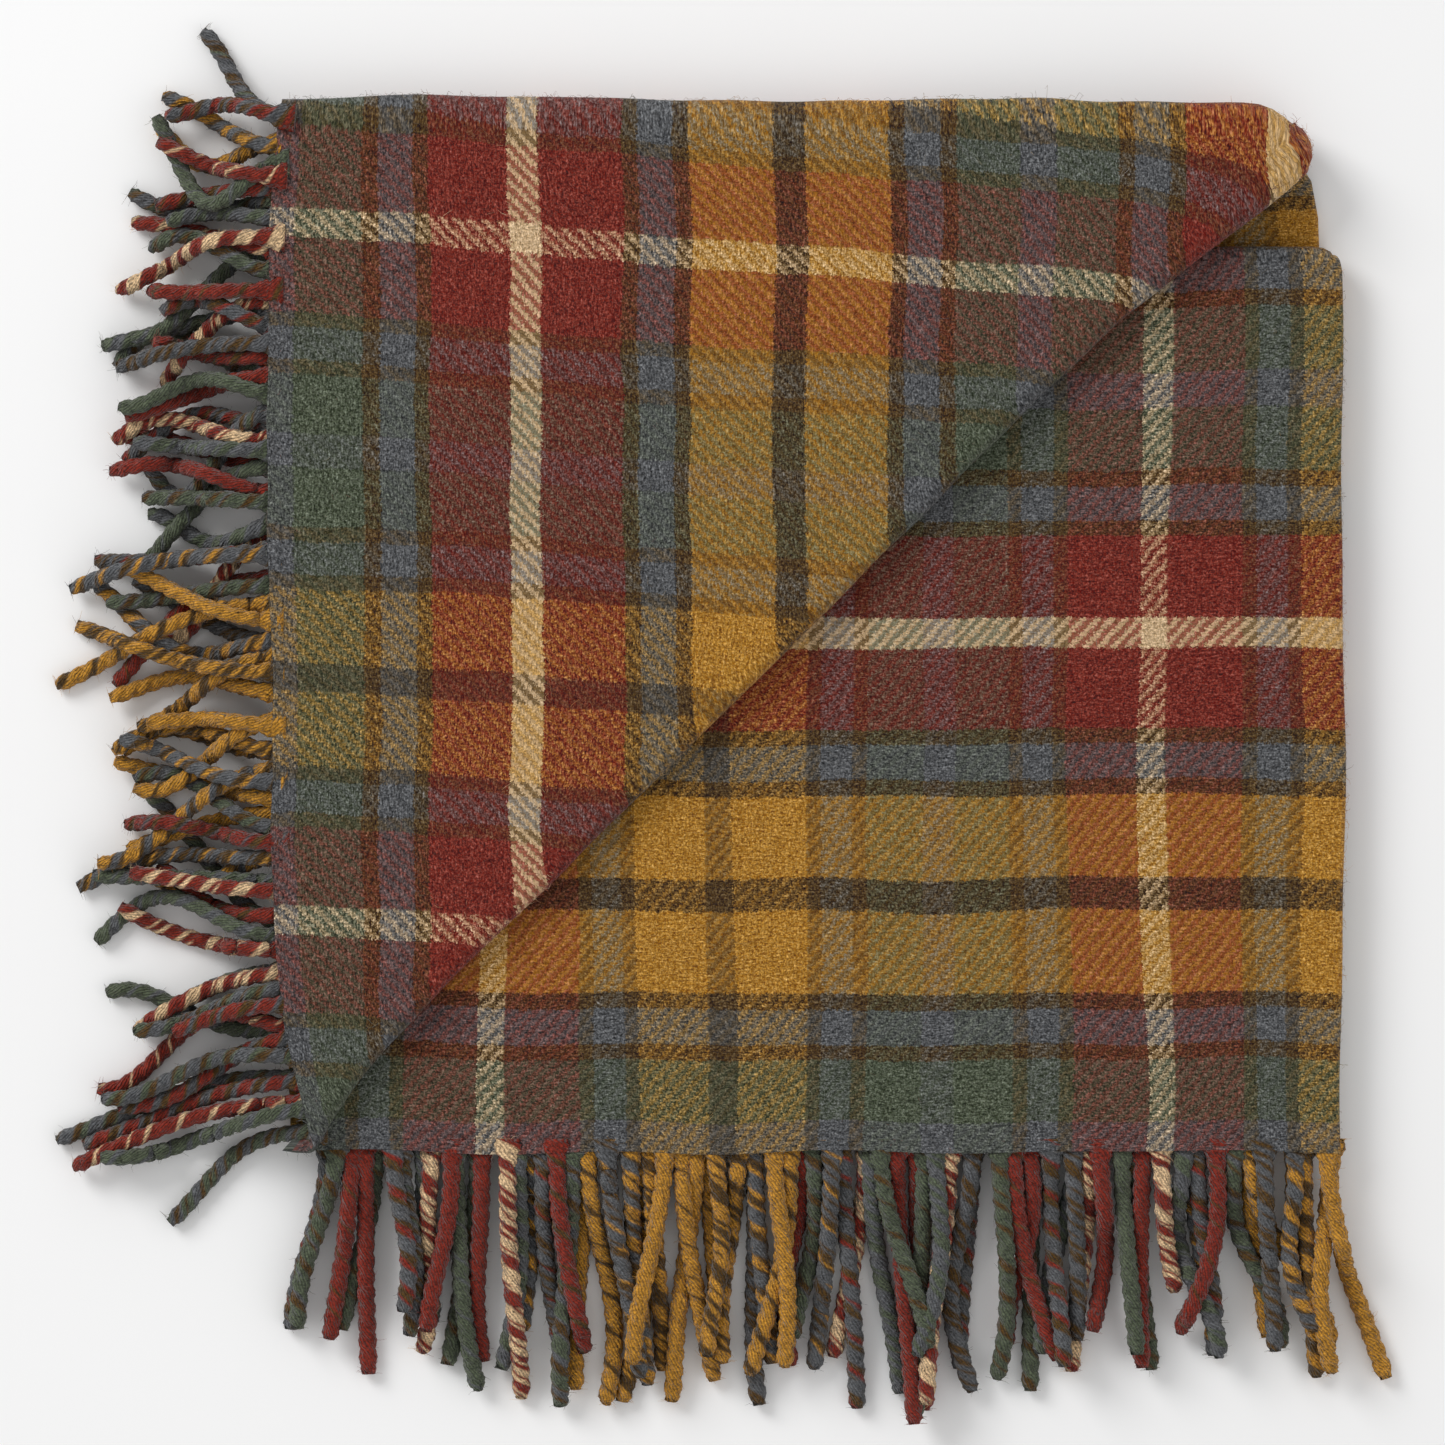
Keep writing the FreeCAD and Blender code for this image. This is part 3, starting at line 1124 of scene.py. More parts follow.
@dataclass(frozen=True)
class FibreCoat:
    """A thin coat of loose curly fibres over a piece of cloth or over tassels."""

    count: int
    length: float = 3.6 * MM
    radius: float = 0.08 * MM
    stand: float = 0.8 * MM
    segments: int = 2

    def grow(self, name: str, piece: bpy.types.Object, wanted: np.ndarray, seed: int,
             material: bpy.types.Material) -> bpy.types.Object:
        """Grows the fibres on a piece.

        Args:
            name: Name of the coat.
            piece: The piece that they grow on.
            wanted: How much each face of the piece wants fibres for its size.
            seed: Which scatter.
            material: Finish of the fibres.

        Returns:
            The coat, at the origin.
        """
        mesh = piece.data
        chance = np.random.default_rng(seed)
        corners = np.zeros(len(mesh.loops), np.int32)
        mesh.loops.foreach_get("vertex_index", corners)
        points = np.zeros(len(mesh.vertices) * 3, np.float32)
        mesh.vertices.foreach_get("co", points)
        points = points.reshape(-1, 3).astype(float)
        starts = np.zeros(len(mesh.polygons), np.int32)
        mesh.polygons.foreach_get("loop_start", starts)
        normals = np.zeros(len(mesh.polygons) * 3, np.float32)
        mesh.polygons.foreach_get("normal", normals)
        normals = normals.reshape(-1, 3).astype(float)
        areas = np.zeros(len(mesh.polygons), np.float32)
        mesh.polygons.foreach_get("area", areas)
        weight = areas * wanted
        faces = chance.choice(len(weight), self.count, p=weight / weight.sum())
        a, b = chance.random(self.count)[:, None], chance.random(self.count)[:, None]
        near, far, last = starts[faces], starts[faces] + 1, starts[faces] + 2
        flip = (a + b > 1)
        a, b = np.where(flip, 1 - a, a), np.where(flip, 1 - b, b)
        root = points[corners[near]] * (1 - a - b) + points[corners[far]] * a + points[corners[last]] * b
        out = normals[faces]
        loose = chance.standard_normal((self.count, 3))
        ahead = np.cross(out, loose)
        ahead /= np.linalg.norm(ahead, axis=1, keepdims=True)
        across = np.cross(out, ahead)
        size = self.length * chance.uniform(0.5, 1.3, (self.count, 1))
        bend = chance.normal(0, 0.9, (self.count, 1))
        high = self.stand * chance.gamma(1.6, 0.6, (self.count, 1))
        rings = []
        for step in range(self.segments + 1):
            t = step / self.segments
            middle = root + ahead * size * t * (1 - 0.25 * abs(bend) * t)
            middle = middle + across * size * bend * t * t * 0.5
            middle = middle + out * (high * math.sin(math.pi * min(t * 0.8, 1.0)) - 0.1 * MM)
            thick = self.radius * (1.0 - 0.55 * t)
            ring = [middle + thick * (across * math.cos(turn) + out * math.sin(turn))
                    for turn in (0.0, 2 * math.pi / 3, 4 * math.pi / 3)]
            rings.append(np.stack(ring, axis=1))
        hairs = np.stack(rings, axis=1)
        per = (self.segments + 1) * 3
        pattern = []
        for step in range(self.segments):
            for side in range(3):
                ahead_side = (side + 1) % 3
                pattern.append((step * 3 + side, step * 3 + ahead_side,
                                step * 3 + 3 + ahead_side, step * 3 + 3 + side))
        first = (np.arange(self.count) * per)[:, None, None]
        quads = np.array(pattern)[None] + first
        ends = np.array(((2, 1, 0), (per - 3, per - 2, per - 1)))[None] + first
        coat = bpy.data.meshes.new(name)
        coat.from_pydata(hairs.reshape(-1, 3).tolist(), [],
                         quads.reshape(-1, 4).tolist() + ends.reshape(-1, 3).tolist())
        order = np.zeros(len(coat.loops), np.int32)
        coat.loops.foreach_get("vertex_index", order)
        owner = order // per
        if "cloth" in mesh.uv_layers:
            layer = np.zeros(len(mesh.loops) * 2, np.float32)
            mesh.uv_layers["cloth"].data.foreach_get("uv", layer)
            rooted = layer.reshape(-1, 2)[near]
            coat.uv_layers.new(name="cloth").data.foreach_set("uv", rooted[owner].reshape(-1))
        else:
            dyes = np.zeros(len(mesh.vertices) * 4, np.float32)
            mesh.color_attributes["dye"].data.foreach_get("color", dyes)
            rooted = dyes.reshape(-1, 4)[corners[near]]
            dye = coat.color_attributes.new("dye", "FLOAT_COLOR", "POINT")
            dye.data.foreach_set("color", np.repeat(rooted, per, axis=0).reshape(-1))
        coat.materials.append(material)
        coat.update()
        made = bpy.data.objects.new(name, coat)
        bpy.context.collection.objects.link(made)
        return made


def face_values(piece: bpy.types.Object, name: str, width: int) -> np.ndarray:
    """A number or vector of every face of a piece, such as its normal or centre.

    Args:
        piece: The piece.
        name: Which property of a mesh polygon.
        width: How many numbers it has.

    Returns:
        The values, a row for each face.
    """
    kind = np.int32 if name == "loop_total" else np.float32
    values = np.zeros(len(piece.data.polygons) * width, kind)
    piece.data.polygons.foreach_get(name, values)
    return values.reshape(-1, width)


@dataclass
class PackCloth:
    """The part of the cloth that lies still: the upper, middle and bottom leaf and their turns."""

    layout: Layout
    width: WidthFolds
    length: LengthFolds
    drape: Drape
    sett: Sett
    ply_thickness: float = 1.15 * MM
    fine: float = 4.0 * MM
    coarse: float = 14.0 * MM
    turn_steps: int = 8
    slack: float = 0.037

    def stations(self, path: FoldPath) -> np.ndarray:
        """Stations along a fold path, fine on its first run and in its turns.

        Args:
            path: The fold path.

        Returns:
            Distances along the path, with both ends.
        """
        found = []
        for number, piece in enumerate(path.pieces):
            start = path.reach(number)
            step = self.fine if number == 0 else self.coarse
            if isinstance(piece, Turn):
                step = piece.length / self.turn_steps
            found.append(evenly(start, start + piece.length, step))
        return np.concatenate(found + [[path.length]])

    def build(self, material: bpy.types.Material) -> bpy.types.Object:
        """Builds the sheet and rides it on the pack.

        Args:
            material: Finish of the sheet.

        Returns:
            The piece.
        """
        u, s = np.meshgrid(self.stations(self.width.path), self.stations(self.length.path))
        faces = []
        for side in (0.5, -0.5):
            across, height = self.width.path.place(u, side * self.ply_thickness)
            points = self.length.inner_strip(across, height, s)
            faces.append(self.drape.settle(points, False))
        cloth = np.stack((u, self.weft(s)), axis=-1)
        piece = ClothMesh("pack_cloth").build([(faces[0], faces[1], cloth)], material)
        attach(piece, "pack")
        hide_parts("bottom_leaf", "middle_leaf", "upper_leaf", "front_turn", "inner_back_turn")
        return piece

    def weft(self, s: np.ndarray) -> np.ndarray:
        """Second cloth coordinate, in step with the front end at first and with the other end at last.

        Args:
            s: Distance from the front end of the cloth.

        Returns:
            Distance from the middle of a cream line.
        """
        place = self.layout
        path = self.length.path
        first, last = path.reach(1), path.reach(4)
        stretch = self.slack * np.clip(s - self.sett.front_cream, 0.0, first - self.sett.front_cream)
        meeting = place.outer_back_turn + math.pi * self.length.back_radius - place.front_edge
        meeting -= self.sett.corner_cream
        gap = meeting - (self.sett.front_cream - path.length)
        gap -= round(gap / self.sett.weft_repeat) * self.sett.weft_repeat
        most = self.slack * (first - self.sett.front_cream)
        return self.sett.front_cream - s + stretch + (gap - most) * blend_step(s, first + 10 * MM, last)

    @property
    def flat(self) -> tuple:
        """Width and length of this part of the cloth when flat."""
        return (self.width.path.length, self.length.path.length)


@dataclass
class CornerCloth:
    """The outer back turn, the top leaf, the roll along the diagonal and the turned corner."""

    layout: Layout
    width: WidthFolds
    length: LengthFolds
    drape: Drape
    sett: Sett
    skew: Skew = Skew()
    ply_thickness: float = 1.15 * MM
    fine: float = 4.0 * MM
    leaf_step: float = 9.0 * MM
    leaf_columns: int = 48
    back_rows: int = 15
    roll_steps: int = 9
    shown_columns: int = 110
    hidden_columns: int = 40
    arc_points: int = 9
    areas: dict = field(default_factory=dict)

    @property
    def right(self) -> float:
        """X of the runs' right ends, where the plies turn."""
        return self.layout.outer_right - 1.5 * self.width.pitch

    def cloth_coordinates(self, u: np.ndarray, back: np.ndarray) -> np.ndarray:
        """Cloth coordinates of points of the outer strip.

        Args:
            u: Distance from the first selvedge.
            back: Y of the point on the straight strip.

        Returns:
            Cloth coordinates, the second measured so that 0 is the middle of a cream line.
        """
        across, _ = self.width.path.place(u, np.zeros_like(u))
        inward = np.maximum(back - self.layout.front_edge, 0.0)
        turned = blend_step((self.layout.outer_left + across - back + self.layout.diagonal) / math.sqrt(2),
                            -20 * MM, 5 * MM)
        drag = self.skew.drag(across, inward) * turned
        ply = np.floor((u / self.width.width) % 2)
        drag = np.where(ply > 0, -drag, drag)
        return np.stack((u - drag, back - self.layout.front_edge - self.sett.corner_cream), axis=-1)

    def grid(self, u: np.ndarray, back: np.ndarray) -> tuple:
        """The sheet through points of the outer strip.

        Args:
            u: Distance from the first selvedge.
            back: Y of the points on the straight strip.

        Returns:
            The points of its two faces, and its cloth coordinates.
        """
        found = []
        for side in (0.5, -0.5):
            across, height = self.width.path.place(u, side * self.ply_thickness)
            found.append(self.drape.settle(self.length.outer_strip(across, height, back), True))
        return found[0], found[1], self.cloth_coordinates(u, back)

    def top_leaf(self, material: bpy.types.Material) -> bpy.types.Object:
        """The top leaf's left triangle and the back turn, all four plies.

        Args:
            material: Finish of the sheet.

        Returns:
            The piece, at the origin.
        """
        place = self.layout
        start = place.corner_tip + 1.0 * MM
        turn_end = place.outer_back_turn + math.pi * self.length.back_radius
        rows = np.concatenate((evenly(start, place.outer_back_turn, self.leaf_step),
                               np.linspace(place.outer_back_turn, turn_end, self.back_rows)))
        grids = []
        area = 0.0
        for ply in range(PLIES):
            back = np.repeat(rows[:, None], self.leaf_columns, axis=1)
            reach = np.minimum(rows - place.diagonal, self.right) - place.outer_left
            across = np.linspace(0.0, 1.0, self.leaf_columns)[None, :] * reach[:, None]
            if ply in (1, 2):
                across = np.maximum(across, 0.5 * self.width.pitch)
            u = self.width.station(ply, across)
            grids.append(self.grid(u, back))
            area += flat_area(u, back)
        piece = ClothMesh("top_cloth").build(grids, material)
        self.areas[piece.name] = area
        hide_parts("top_leaf", "outer_back_turn")
        self.join_back(piece)
        return piece

    def join(self, piece: bpy.types.Object) -> None:
        """Bakes a piece's transform into its mesh.

        Args:
            piece: The piece.
        """
        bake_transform(piece)

    def join_back(self, piece: bpy.types.Object) -> None:
        """Bakes the transform of a piece at the outer turn at the back into its mesh."""
        self.join(piece)

    def join_roll(self, piece: bpy.types.Object) -> None:
        """Bakes the transform of a piece on the roll along the diagonal into its mesh."""
        self.join(piece)

    def diagonal_rows(self, first: float, last: float, step: float, loop: tuple) -> tuple:
        """Rows of points that run with the diagonal, over one ply, round its turn and back on another.

        Args:
            first: Distance of the first row beyond the diagonal.
            last: Distance of the last row.
            step: Distance from row to row.
            loop: The ply before the turn and the ply after it.

        Returns:
            Distance from the first selvedge and Y on the straight strip, rows by columns.
        """
        place = self.layout
        path = self.width.path
        count = max(int(round((last - first) / step)), 1) + 1
        beyond = np.linspace(first, last, count)[:, None]
        right = self.right
        tip = place.front_edge - place.diagonal + math.sqrt(2) * beyond
        fine_part = np.linspace(0.0, 1.0, self.shown_columns)[None, :]
        coarse_part = np.linspace(1.0, 0.0, self.hidden_columns)[None, :]
        before = tip + (right - tip) * fine_part
        after = tip + (right - tip) * coarse_part
        turn_piece = 2 * loop[0] + 1
        turn_start = path.reach(turn_piece)
        turn_length = path.pieces[turn_piece].length
        arc = np.linspace(0.0, 1.0, self.arc_points)[None, 1:-1] * turn_length + turn_start
        u = np.concatenate((
            self.width.station(loop[0], before - place.outer_left),
            np.repeat(arc, count, axis=0),
            self.width.station(loop[1], after - place.outer_left)), axis=1)
        x = np.concatenate((before, np.full((count, arc.shape[1]), right), after), axis=1)
        back = x + place.diagonal - math.sqrt(2) * beyond
        return u, back

    def nested(self, name: str, first: float, last: float, step: float,
               material: bpy.types.Material) -> bpy.types.Object:
        """Two sheets, one folded inside the other, between two rows along the diagonal.

        Args:
            name: Name of the piece.
            first: Distance of the first row beyond the diagonal.
            last: Distance of the last row.
            step: Distance from row to row.
            material: Finish of the sheets.

        Returns:
            The piece, not yet on a body.
        """
        grids = []
        area = 0.0
        for loop in ((0, 1), (2, 3)):
            u, back = self.diagonal_rows(first, last, step, loop)
            grids.append(self.grid(u, back))
            area += flat_area(u, back)
        piece = ClothMesh(name).build(grids, material)
        self.areas[piece.name] = area
        return piece

    @property
    def roll_length(self) -> float:
        """Length of cloth in the roll along the diagonal, where it is widest."""
        return math.pi * self.length.corner_radius * (1 + self.length.flare_swell)

    def roll(self, material: bpy.types.Material) -> bpy.types.Object:
        """The roll along the diagonal.

        Args:
            material: Finish of the sheets.

        Returns:
            The piece, at the origin.
        """
        length = self.roll_length
        piece = self.nested("corner_roll", 0.0, length, length / self.roll_steps, material)
        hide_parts("corner_turn")
        self.join_roll(piece)
        return piece

    def turned(self, material: bpy.types.Material) -> bpy.types.Object:
        """The turned corner, beyond its roll.

        Args:
            material: Finish of the sheets.

        Returns:
            The piece, on the turned corner.
        """
        place = self.layout
        length = self.roll_length
        far = (self.right - place.front_edge + place.diagonal) / math.sqrt(2)
        piece = self.nested("turned_cloth", length, far - 0.6 * MM, self.fine, material)
        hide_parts("turned_corner")
        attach(piece, "turned_corner")
        return piece


@dataclass(frozen=True)
class Twist:
    """Shape of one tassel: two strands twisted together, flat where it leaves the cloth."""

    radius: float = 3.15 * MM
    groove: float = 0.22
    pitch: float = 12.0 * MM
    sides: int = 12
    ring_step: float = 2.0 * MM
    root_width: float = 5.6 * MM
    root_height: float = 0.75 * MM
    gather: float = 11.0 * MM
    fray: float = 5.0 * MM

    def rings(self, line: np.ndarray, phase: float) -> tuple:
        """Rings of points round a tassel.

        Args:
            line: Points along the middle of the tassel.
            phase: Where the twist starts.

        Returns:
            The rings, and the distance of each along the tassel.
        """
        steps = np.linalg.norm(np.diff(line, axis=0), axis=1)
        run = np.concatenate(([0.0], np.cumsum(steps)))
        count = max(int(run[-1] / self.ring_step), 6)
        at = np.linspace(0.0, run[-1], count)
        centre = np.stack([np.interp(at, run, line[:, axis]) for axis in range(3)], axis=-1)
        ahead = np.gradient(centre, axis=0)
        ahead /= np.linalg.norm(ahead, axis=1, keepdims=True)
        side = np.cross(ahead, np.array((0.0, 0.0, 1.0)))
        side /= np.linalg.norm(side, axis=1, keepdims=True)
        up = np.cross(side, ahead)
        turn = 2 * math.pi * np.arange(self.sides) / self.sides
        twist = phase + 2 * math.pi * at / self.pitch
        lobes = 1.0 - self.groove * (1.0 - np.abs(np.cos(turn)))
        round_part = blend_step(at, 1 * MM, self.gather)[:, None]
        tip = np.clip((run[-1] - at) / self.fray, 0.0, 1.0)[:, None]
        girth = self.radius * (0.62 + 0.38 * np.sqrt(tip * (2 - tip)))
        wide = self.root_width + (girth - self.root_width) * round_part
        high = self.root_height + (girth - self.root_height) * round_part
        angle = turn[None, :] + twist[:, None]
        offset = (side[:, None, :] * (wide * lobes[None, :] * np.cos(angle))[:, :, None]
                  + up[:, None, :] * (high * lobes[None, :] * np.sin(angle))[:, :, None])
        return centre[:, None, :] + offset, at, twist


@dataclass(frozen=True)
class Hang:
    """How a fringe lies: values along the edge for the lean and the length of its tassels.

    Each list holds pairs of a share of the edge and a value; a lean is in degrees, towards the edge's end.
    """

    lean: tuple
    length: tuple
    stray: float
    curl: float
    uneven: float = 0.07

    def at(self, values: tuple, share: float) -> float:
        """A value at a share of the edge."""
        return float(np.interp(share, [pair[0] for pair in values], [pair[1] for pair in values]))


@dataclass
class Fringe:
    """The twisted tassels of one end of the cloth, laid down one on another."""

    name: str
    body: str
    edge_start: np.ndarray
    edge_direction: np.ndarray
    outward: np.ndarray
    edge_length: float
    root_height: float
    hang: Hang
    width: WidthFolds
    sett: Sett
    seed: int
    skew: Skew | None = None
    bow: Bow | None = None
    tassels: int = 75
    twist: Twist = Twist()
    route_points: int = 44
    tucked: float = 4.0 * MM

    def build(self, ground: np.ndarray, origin: tuple, cell: float, material: bpy.types.Material) -> list:
        """Lays the tassels down and builds a piece for each ply's row.

        Args:
            ground: Heights that are already taken, in cells, changed as tassels are laid.
            origin: X and Y of the first cell.
            cell: Size of a cell.
            material: Finish of the tassels.

        Returns:
            The rows' objects, from the lowest ply to the highest.
        """
        chance = np.random.default_rng(self.seed)
        path = self.width.path
        rows = {}
        roots = []
        for number in range(self.tassels):
            u = (number + 0.5) * path.length / self.tassels
            across, height = path.place(np.array([u]), np.array([0.0]))
            roots.append((float(height[0]), float(across[0]), u))
        spacing = path.length / self.tassels / PLIES
        for height, across, u in sorted(roots):
            ply = int(u // self.width.width)
            across += (0.0, 0.0, spacing, spacing)[min(ply, PLIES - 1)] + chance.normal(0, 1.6 * MM)
            across = float(np.clip(across, 2 * MM, self.edge_length - 3 * MM))
            line = self.lay(self.route(height, across, chance), ground, origin, cell)
            if self.skew:
                rising = -1.0 if (u // self.width.width) % 2 else 1.0
                u -= rising * float(self.skew.drag(np.array(across), np.array(0.0)))
            rows.setdefault(int(round(height / self.width.pitch + 1.5)), []).append(
                (line, u, chance.uniform(0, 2 * math.pi)))
        return [self.row_piece("%s_row_%d" % (self.name, ply + 1), tassels, material)
                for ply, tassels in sorted(rows.items())]

    def route(self, height: float, across: float, chance: np.random.Generator) -> np.ndarray:
        """The line of one tassel before it is laid down.

        Args:
            height: Height of its root from the middle of the leaf.
            across: Distance of its root along the edge.
            chance: Where its random lean, length and curl come from.

        Returns:
            Points along the tassel, all at the height of its root.
        """
        share = across / self.edge_length
        lean = math.radians(self.hang.at(self.hang.lean, share) + self.hang.stray * chance.standard_normal())
        length = self.hang.at(self.hang.length, share) * (1 + self.hang.uneven * chance.standard_normal())
        curl = chance.normal(0, self.hang.curl)
        waves = chance.uniform(0.7, 1.5)
        phase = chance.uniform(0, 2 * math.pi)
        t = np.linspace(0.0, 1.0, self.route_points)
        angle = lean * np.clip(t * 1.6, 0.0, 1.0)
        step = (length + self.tucked) / (self.route_points - 1)
        out = np.concatenate(([0.0], np.cumsum(step * np.cos(angle[1:])))) - self.tucked
        side = np.concatenate(([0.0], np.cumsum(step * np.sin(angle[1:]))))
        side = side + curl * (np.sin(2 * math.pi * waves * t * 0.6 + phase) - math.sin(phase)) * t
        base = self.edge_start + self.edge_direction * across
        if self.bow:
            base = base - self.outward * float(self.bow.at(base[1]))
        points = base[None, :] + self.outward[None, :] * out[:, None]
        points = points + self.edge_direction[None, :] * side[:, None]
        points[:, 2] = self.root_height + height
        return points

    def lay(self, points: np.ndarray, ground: np.ndarray, origin: tuple, cell: float) -> np.ndarray:
        """Drops a tassel's line on to what lies below it and marks the space it takes.

        Args:
            points: Points along the tassel.
            ground: Heights that are already taken, in cells, changed here.
            origin: X and Y of the first cell.
            cell: Size of a cell.

        Returns:
            The points at their new heights.
        """
        radius = self.twist.radius
        cells = np.floor((points[:, :2] - np.array(origin)) / cell).astype(int)
        cells = np.clip(cells, 4, np.array(ground.shape) - 5)
        spread = [(i, j) for i in range(-2, 3) for j in range(-2, 3) if i * i + j * j <= 5]
        taken = np.stack([ground[cells[:, 0] + i, cells[:, 1] + j] - 0.3 * MM * (i * i + j * j)
                          for i, j in spread]).max(axis=0)
        rest = np.maximum(taken, 0.0) + radius * 0.92
        soft = np.convolve(np.pad(rest, 4, mode="edge"), np.ones(9) / 9, mode="valid")
        rest = np.maximum(soft, rest - 1.2 * MM)
        run = np.linalg.norm(points[:, :2] - points[0, :2], axis=1)
        fall = np.exp(-(run / (19 * MM)) ** 2)
        ceiling = points[:, 2] + 2.5 * MM
        z = points[:, 2] * fall + np.minimum(rest, ceiling) * (1 - fall)
        points = points.copy()
        points[:, 2] = np.maximum(z, radius * 0.96)
        for i, j in spread:
            top = points[8:, 2] + radius * 0.8 - 0.3 * MM * (i * i + j * j)
            np.maximum.at(ground, (cells[8:, 0] + i, cells[8:, 1] + j), top)
        return points

    def dyes(self, u: float, at: np.ndarray, chance: np.random.Generator) -> np.ndarray:
        """Colours of the points of a tassel: one strand's yarns on one half, the other's on the other.

        Args:
            u: Place of the tassel across the cloth, from the first selvedge.
            at: Distance of each ring along the tassel.
            chance: Where the start of the yarns' order comes from.

        Returns:
            A colour for each point of each ring.
        """
        sides = self.twist.sides
        half = sides // 2
        reach = self.width.path.length / self.tassels
        colours = np.zeros((len(at), sides, 4), np.float32)
        slip = chance.integers(0, 6)
        for ring, distance in enumerate(at):
            shift = int(distance / (9 * MM)) + slip
            for side in range(sides):
                strand = side // half
                yarn_place = ((side % half + shift) % half + 0.5) / half
                place = u + (strand - 1 + yarn_place) * reach / 2
                colours[ring, side] = (*self.sett.warp_yarn(place).value, 1.0)
        return colours

    def row_piece(self, name: str, tassels: list, material: bpy.types.Material) -> bpy.types.Object:
        """One ply's tassels as one mesh.

        Args:
            name: Name of the piece.
            tassels: For each tassel its line, its place across the cloth and the start of its twist.
            material: Finish of the tassels.

        Returns:
            The piece, on the fringe's body.
        """
        chance = np.random.default_rng(self.seed + len(tassels))
        sides = self.twist.sides
        points, quads, caps, dyes, around_uv, cap_uv = [], [], [], [], [], []
        total = 0
        for line, u, phase in tassels:
            rings, at, twist = self.twist.rings(line, phase)
            count = len(rings)
            index = np.arange(count * sides).reshape(count, sides) + total
            ahead = np.roll(index, -1, axis=1)
            quads.append(np.stack((index[:-1], ahead[:-1], ahead[1:], index[1:]), axis=-1).reshape(-1, 4))
            turn = np.arange(sides + 1)[None, :] / sides + (twist / (2 * math.pi))[:, None]
            strand = np.stack((turn, np.repeat(at[:, None], sides + 1, axis=1)), axis=-1)
            around_uv.append(np.stack((strand[:-1, :-1], strand[:-1, 1:], strand[1:, 1:], strand[1:, :-1]),
                                      axis=2).reshape(-1, 2))
            hub = total + count * sides
            caps.append(np.stack((index[0], np.full(sides, hub), ahead[0]), axis=-1))
            caps.append(np.stack((index[-1], ahead[-1], np.full(sides, hub + 1)), axis=-1))
            cap_uv.append(np.tile((0.3, 0.0), (sides * 6, 1)))
            ends = np.stack((rings[0].mean(axis=0), rings[-1].mean(axis=0)))
            rough = 1 + 0.12 * chance.standard_normal((1, sides, 1))
            rings[-1] = (ends[1] + (rings[-1] - ends[1]) * rough[0])
            points.append(np.concatenate((rings.reshape(-1, 3), ends)))
            colours = self.dyes(u, at, chance)
            dyes.append(np.concatenate((colours.reshape(-1, 4), colours[0, :1], colours[-1, :1])))
            total += count * sides + 2
        faces = np.concatenate(quads).tolist() + np.concatenate(caps).tolist()
        mesh = bpy.data.meshes.new(name)
        mesh.from_pydata(np.concatenate(points).tolist(), [], faces)
        uvs = np.concatenate(around_uv + cap_uv).astype(np.float32)
        mesh.uv_layers.new(name="strand").data.foreach_set("uv", uvs.reshape(-1))
        dye = mesh.color_attributes.new("dye", "FLOAT_COLOR", "POINT")
        dye.data.foreach_set("color", np.concatenate(dyes).astype(np.float32).reshape(-1))
        mesh.polygons.foreach_set("use_smooth", np.ones(len(faces), bool))
        mesh.materials.append(material)
        mesh.update()
        piece = bpy.data.objects.new(name, mesh)
        bpy.context.collection.objects.link(piece)
        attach(piece, self.body)
        return piece


@dataclass(frozen=True)
class Studio:
    """Pale floor, soft light and the camera straight above."""

    middle: tuple = (-29.8 * MM, -31.4 * MM)
    view_width: float = 525.5 * MM
    camera_height: float = 3.0
    mean_height: float = 16 * MM
    sensor: float = 36.0

    def build(self) -> None:
        """Makes the floor, the lights and the camera."""
        scene = bpy.context.scene
        scene.view_settings.view_transform = "Standard"
        self.floor()
        self.sky()
        self.lamp("key", (-2.3, 2.1, 2.3), 1.8, 78.0)
        self.lamp("fill", (2.2, -1.6, 2.6), 2.4, 11.0)
        data = bpy.data.cameras.new("camera")
        data.sensor_width = self.sensor
        data.lens = self.sensor * (self.camera_height - self.mean_height) / self.view_width
        data.clip_end = 20.0
        camera = bpy.data.objects.new("camera", data)
        camera.location = (*self.middle, self.camera_height)
        bpy.context.collection.objects.link(camera)
        scene.camera = camera

    def floor(self) -> None:
        """A wide pale floor, matt."""
        bpy.ops.object.select_all(action="DESELECT")
        bpy.ops.mesh.primitive_plane_add(size=12.0, location=(0.0, 0.0, -0.0003))
        floor = bpy.context.object
        floor.name = "floor"
        material = bpy.data.materials.new("pale_floor")
        material.use_nodes = True
        shader = material.node_tree.nodes["Principled BSDF"]
        shader.inputs["Base Color"].default_value = (0.97, 0.97, 0.97, 1.0)
        shader.inputs["Roughness"].default_value = 0.9
        shader.inputs["Specular IOR Level"].default_value = 0.1
        floor.data.materials.append(material)

    def sky(self) -> None:
        """Even white light from all round."""
        world = bpy.data.worlds.new("sky")
        world.use_nodes = True
        world.node_tree.nodes["Background"].inputs["Color"].default_value = (1.0, 1.0, 1.0, 1.0)
        world.node_tree.nodes["Background"].inputs["Strength"].default_value = 0.60
        bpy.context.scene.world = world

    def lamp(self, name: str, place: tuple, size: float, power: float) -> None:
        """A soft square lamp that faces the middle of the pack.

        Args:
            name: Name of the lamp.
            place: Where it hangs.
            size: Length of its sides.
            power: Its power in watts.
        """
        data = bpy.data.lights.new(name, "AREA")
        data.size = size
        data.energy = power
        lamp = bpy.data.objects.new(name, data)
        lamp.location = place
        aim = np.array((*self.middle, 0.0)) - np.array(place)
        flat = math.hypot(aim[0], aim[1])
        lamp.rotation_euler = (math.atan2(flat, -aim[2]), 0.0, math.atan2(aim[1], aim[0]) - math.pi / 2)
        bpy.context.collection.objects.link(lamp)


